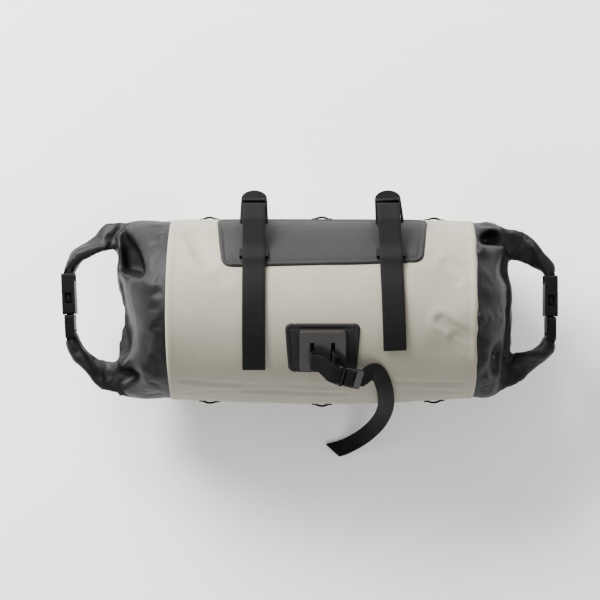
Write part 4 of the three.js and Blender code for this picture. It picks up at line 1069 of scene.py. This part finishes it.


# Each finish: what makes it, the bag's colour that it takes, and its values; a plastic's edge value sets its
# painted edge highlight
FINISHES = {
    # Warm light grey nylon under a thin film: the 0.5 mm threads are drawn at 1.1 mm to show
    "coated nylon, light grey": (coated_cloth, "tube", {
        "thread": 1.1, "weave": 0.16, "roughness": 0.62, "mottle": 0.09, "gloss": 0.35, "sheen": 0.10}),
    # Charcoal nylon, film side a little glossier, so folds catch the light
    "coated nylon, charcoal": (coated_cloth, "cap", {
        "thread": 1.0, "weave": 0.10, "roughness": 0.50, "mottle": 0.10, "gloss": 0.20,
        "follows_map": False}),
    # Heavy welded laminate, matte, almost no weave
    "welded laminate, grey": (coated_cloth, "panel", {
        "thread": 0.9, "weave": 0.04, "roughness": 0.58, "mottle": 0.05, "gloss": 0.24}),
    "welded laminate, dark": (coated_cloth, "patch", {
        "thread": 0.9, "weave": 0.05, "roughness": 0.58, "mottle": 0.06, "gloss": 0.2}),
    # Nylon webbing with 1.5 mm ribs, dry and without shine
    "woven nylon webbing": (woven_webbing, "webbing", {"pitch": 1.5}),
    # Moulded plate, satin, warm dark grey
    "moulded plate plastic": (moulded_plastic, "plate", {
        "roughness": 0.42, "grain": 900.0, "edge_highlight": 0.5, "gloss": 0.5}),
    # Moulded acetal, semi-gloss black
    "moulded acetal, black": (moulded_plastic, "buckle", {
        "roughness": 0.18, "grain": 1200.0, "edge_highlight": 0.25, "gloss": 0.4}),
    # The same acetal from a spark-eroded mould, dull black
    "moulded acetal, dull": (moulded_plastic, "buckle", {
        "roughness": 0.5, "grain": 1200.0, "edge_highlight": 0.1, "gloss": 0.12}),
}


def material_named(name):
    """One of the bag's finishes, made once from its colours."""
    if name not in bpy.data.materials:
        make, colour, values = FINISHES[name]
        make(name, getattr(bpy.context.scene.bag_colours, colour), **values)
    return bpy.data.materials[name]


class MakeTube(bpy.types.Operator):
    """Makes the light tube of coated cloth."""

    bl_idname = "bag.make_tube"
    bl_label = "Tube"

    def execute(self, context):
        read_sizes()
        dress(make_tube(), material_named("coated nylon, light grey"), "grey_cloth", "body_tube")
        return {"FINISHED"}


class MakeEndCloths(bpy.types.Operator):
    """Makes each end's cap, rolled mouth and arms as one cloth with its pocket folds."""

    bl_idname = "bag.make_end_cloths"
    bl_label = "End cloths"

    def execute(self, context):
        read_sizes()
        for name, end in ENDS.items():
            dress(make_end_cloth(name, end), material_named("coated nylon, charcoal"), "charcoal_cloth",
                  f"end_cap_{name}", f"roll_{name}", f"roll_arm_{name}_upper", f"roll_arm_{name}_lower")
        return {"FINISHED"}


class MakePanels(bpy.types.Operator):
    """Makes the welded handlebar panel and the small patch."""

    bl_idname = "bag.make_panels"
    bl_label = "Welded panels"

    def execute(self, context):
        read_sizes()
        panel, patch = make_panels()
        dress(panel, material_named("welded laminate, grey"), "panel_cloth", "handlebar_panel")
        dress(patch, material_named("welded laminate, dark"), "dark_patch", "anchor_patch")
        return {"FINISHED"}


class MakeStraps(bpy.types.Operator):
    """Makes the handlebar straps, their anchor webbing and the head strap."""

    bl_idname = "bag.make_straps"
    bl_label = "Straps"

    def execute(self, context):
        read_sizes()
        webbing = material_named("woven nylon webbing")
        for name, strap in STRAPS.items():
            dress(make_handlebar_strap(name, strap), webbing, "webbing", f"handlebar_strap_{name}")
            dress(make_anchor_web(name, strap), webbing, "webbing", f"anchor_web_{name}")
        dress(make_head_strap(), webbing, "webbing", "head_strap")
        return {"FINISHED"}


class MakeSmallWebbing(bpy.types.Operator):
    """Makes the buckles' webbing turns and the lash loops."""

    bl_idname = "bag.make_small_webbing"
    bl_label = "Small webbing"

    def execute(self, context):
        read_sizes()
        webbing = material_named("woven nylon webbing")
        for name, end in ENDS.items():
            for which in ("upper", "lower"):
                dress(make_clip_web(name, end, which), webbing, "webbing", f"clip_web_{name}_{which}")
        for piece, node in make_lash_loops():
            dress(piece, webbing, "webbing", node)
        return {"FINISHED"}


class MakePlastic(bpy.types.Operator):
    """Makes the buckles, locks, keepers, plate and stud as moulded pieces."""

    bl_idname = "bag.make_plastic"
    bl_label = "Moulded parts"

    def execute(self, context):
        acetal, dull = material_named("moulded acetal, black"), material_named("moulded acetal, dull")
        for node, width in MOULDED.items():
            finish = dull if node.startswith(("keeper", "clip")) else acetal
            dress(softened_copy(node, f"{node}_moulded", width), finish, "buckle_plastic", node)
        plate = softened_copy("anchor_plate", "anchor_plate_moulded", 0.9, 3)
        dress(plate, material_named("moulded plate plastic"), "plate_plastic", "anchor_plate")
        return {"FINISHED"}


class MakeStage(bpy.types.Operator):
    """Makes the floor, the soft studio light and the camera above the bag."""

    bl_idname = "bag.make_stage"
    bl_label = "Stage"

    def execute(self, context):
        make_floor()
        make_lights()
        make_camera()
        return {"FINISHED"}


def make_floor():
    """White paper under the bag, which isn't part of it."""
    shape = bmesh.new()
    bmesh.ops.create_grid(shape, x_segments=1, y_segments=1, size=4.0)
    floor = finish_shape("floor", shape)
    material, tree = new_material("floor paper, white")
    finish_material(tree, {"Base Color": (0.97, 0.97, 0.97, 1), "Roughness": 0.95})
    floor.data.materials.append(material)


def add_softbox(name, place, size, watts, target):
    light = bpy.data.lights.new(name, "AREA")
    light.shape = "RECTANGLE"
    light.size, light.size_y = size
    light.energy = watts
    holder = bpy.data.objects.new(name, light)
    holder.location = place
    holder.rotation_euler = (Vector(target) - Vector(place)).to_track_quat("-Z", "Y").to_euler()
    bpy.context.scene.collection.objects.link(holder)


def make_lights():
    """The soft boxes and an even pale sky."""
    for name, (place, size, watts, target) in SOFTBOXES.items():
        add_softbox(name, place, size, watts, target)
    world = bpy.data.worlds.new("studio")
    world.use_nodes = True
    tree = world.node_tree
    tree.nodes.clear()
    sky = add_node(tree, "Background", {"Color": (1, 1, 1, 1), "Strength": 0.55})["Background"]
    add_node(tree, "OutputWorld", {"Surface": sky})
    bpy.context.scene.world = world


def make_camera():
    """The camera looks straight down, 2.5 m above the bag's axis, as the photograph was taken."""
    data = bpy.data.cameras.new("camera")
    data.sensor_width = 36
    data.lens = 162.3
    data.clip_end = 50
    holder = bpy.data.objects.new("camera", data)
    holder.location = (-0.0086, 0.0241, 2.577)
    bpy.context.scene.collection.objects.link(holder)
    bpy.context.scene.camera = holder


class BagPanel(bpy.types.Panel):
    """Lists the bag's sizes, colours and pieces."""

    bl_idname = "VIEW3D_PT_handlebar_bag"
    bl_label = "Handlebar bag"
    bl_space_type = "VIEW_3D"
    bl_region_type = "UI"
    bl_category = "Handlebar bag"

    def draw(self, context):
        for held in (context.scene.bag_sizes, context.scene.bag_colours):
            for name in held.__annotations__:
                self.layout.prop(held, name)
        for piece in PIECES:
            self.layout.operator(piece.bl_idname)


PIECES = (MakeTube, MakeEndCloths, MakePanels, MakeStraps, MakeSmallWebbing, MakePlastic, MakeStage)
CLASSES = (BagSizes, BagColours, *PIECES, BagPanel)


def register():
    for made in CLASSES:
        bpy.utils.register_class(made)
    bpy.types.Scene.bag_sizes = bpy.props.PointerProperty(type=BagSizes)
    bpy.types.Scene.bag_colours = bpy.props.PointerProperty(type=BagColours)


def unregister():
    del bpy.types.Scene.bag_colours
    del bpy.types.Scene.bag_sizes
    for made in reversed(CLASSES):
        bpy.utils.unregister_class(made)


def main():
    register()
    for piece in PIECES:
        group, name = piece.bl_idname.split(".")
        getattr(getattr(bpy.ops, group), name)()


if __name__ == "__main__":
    main()
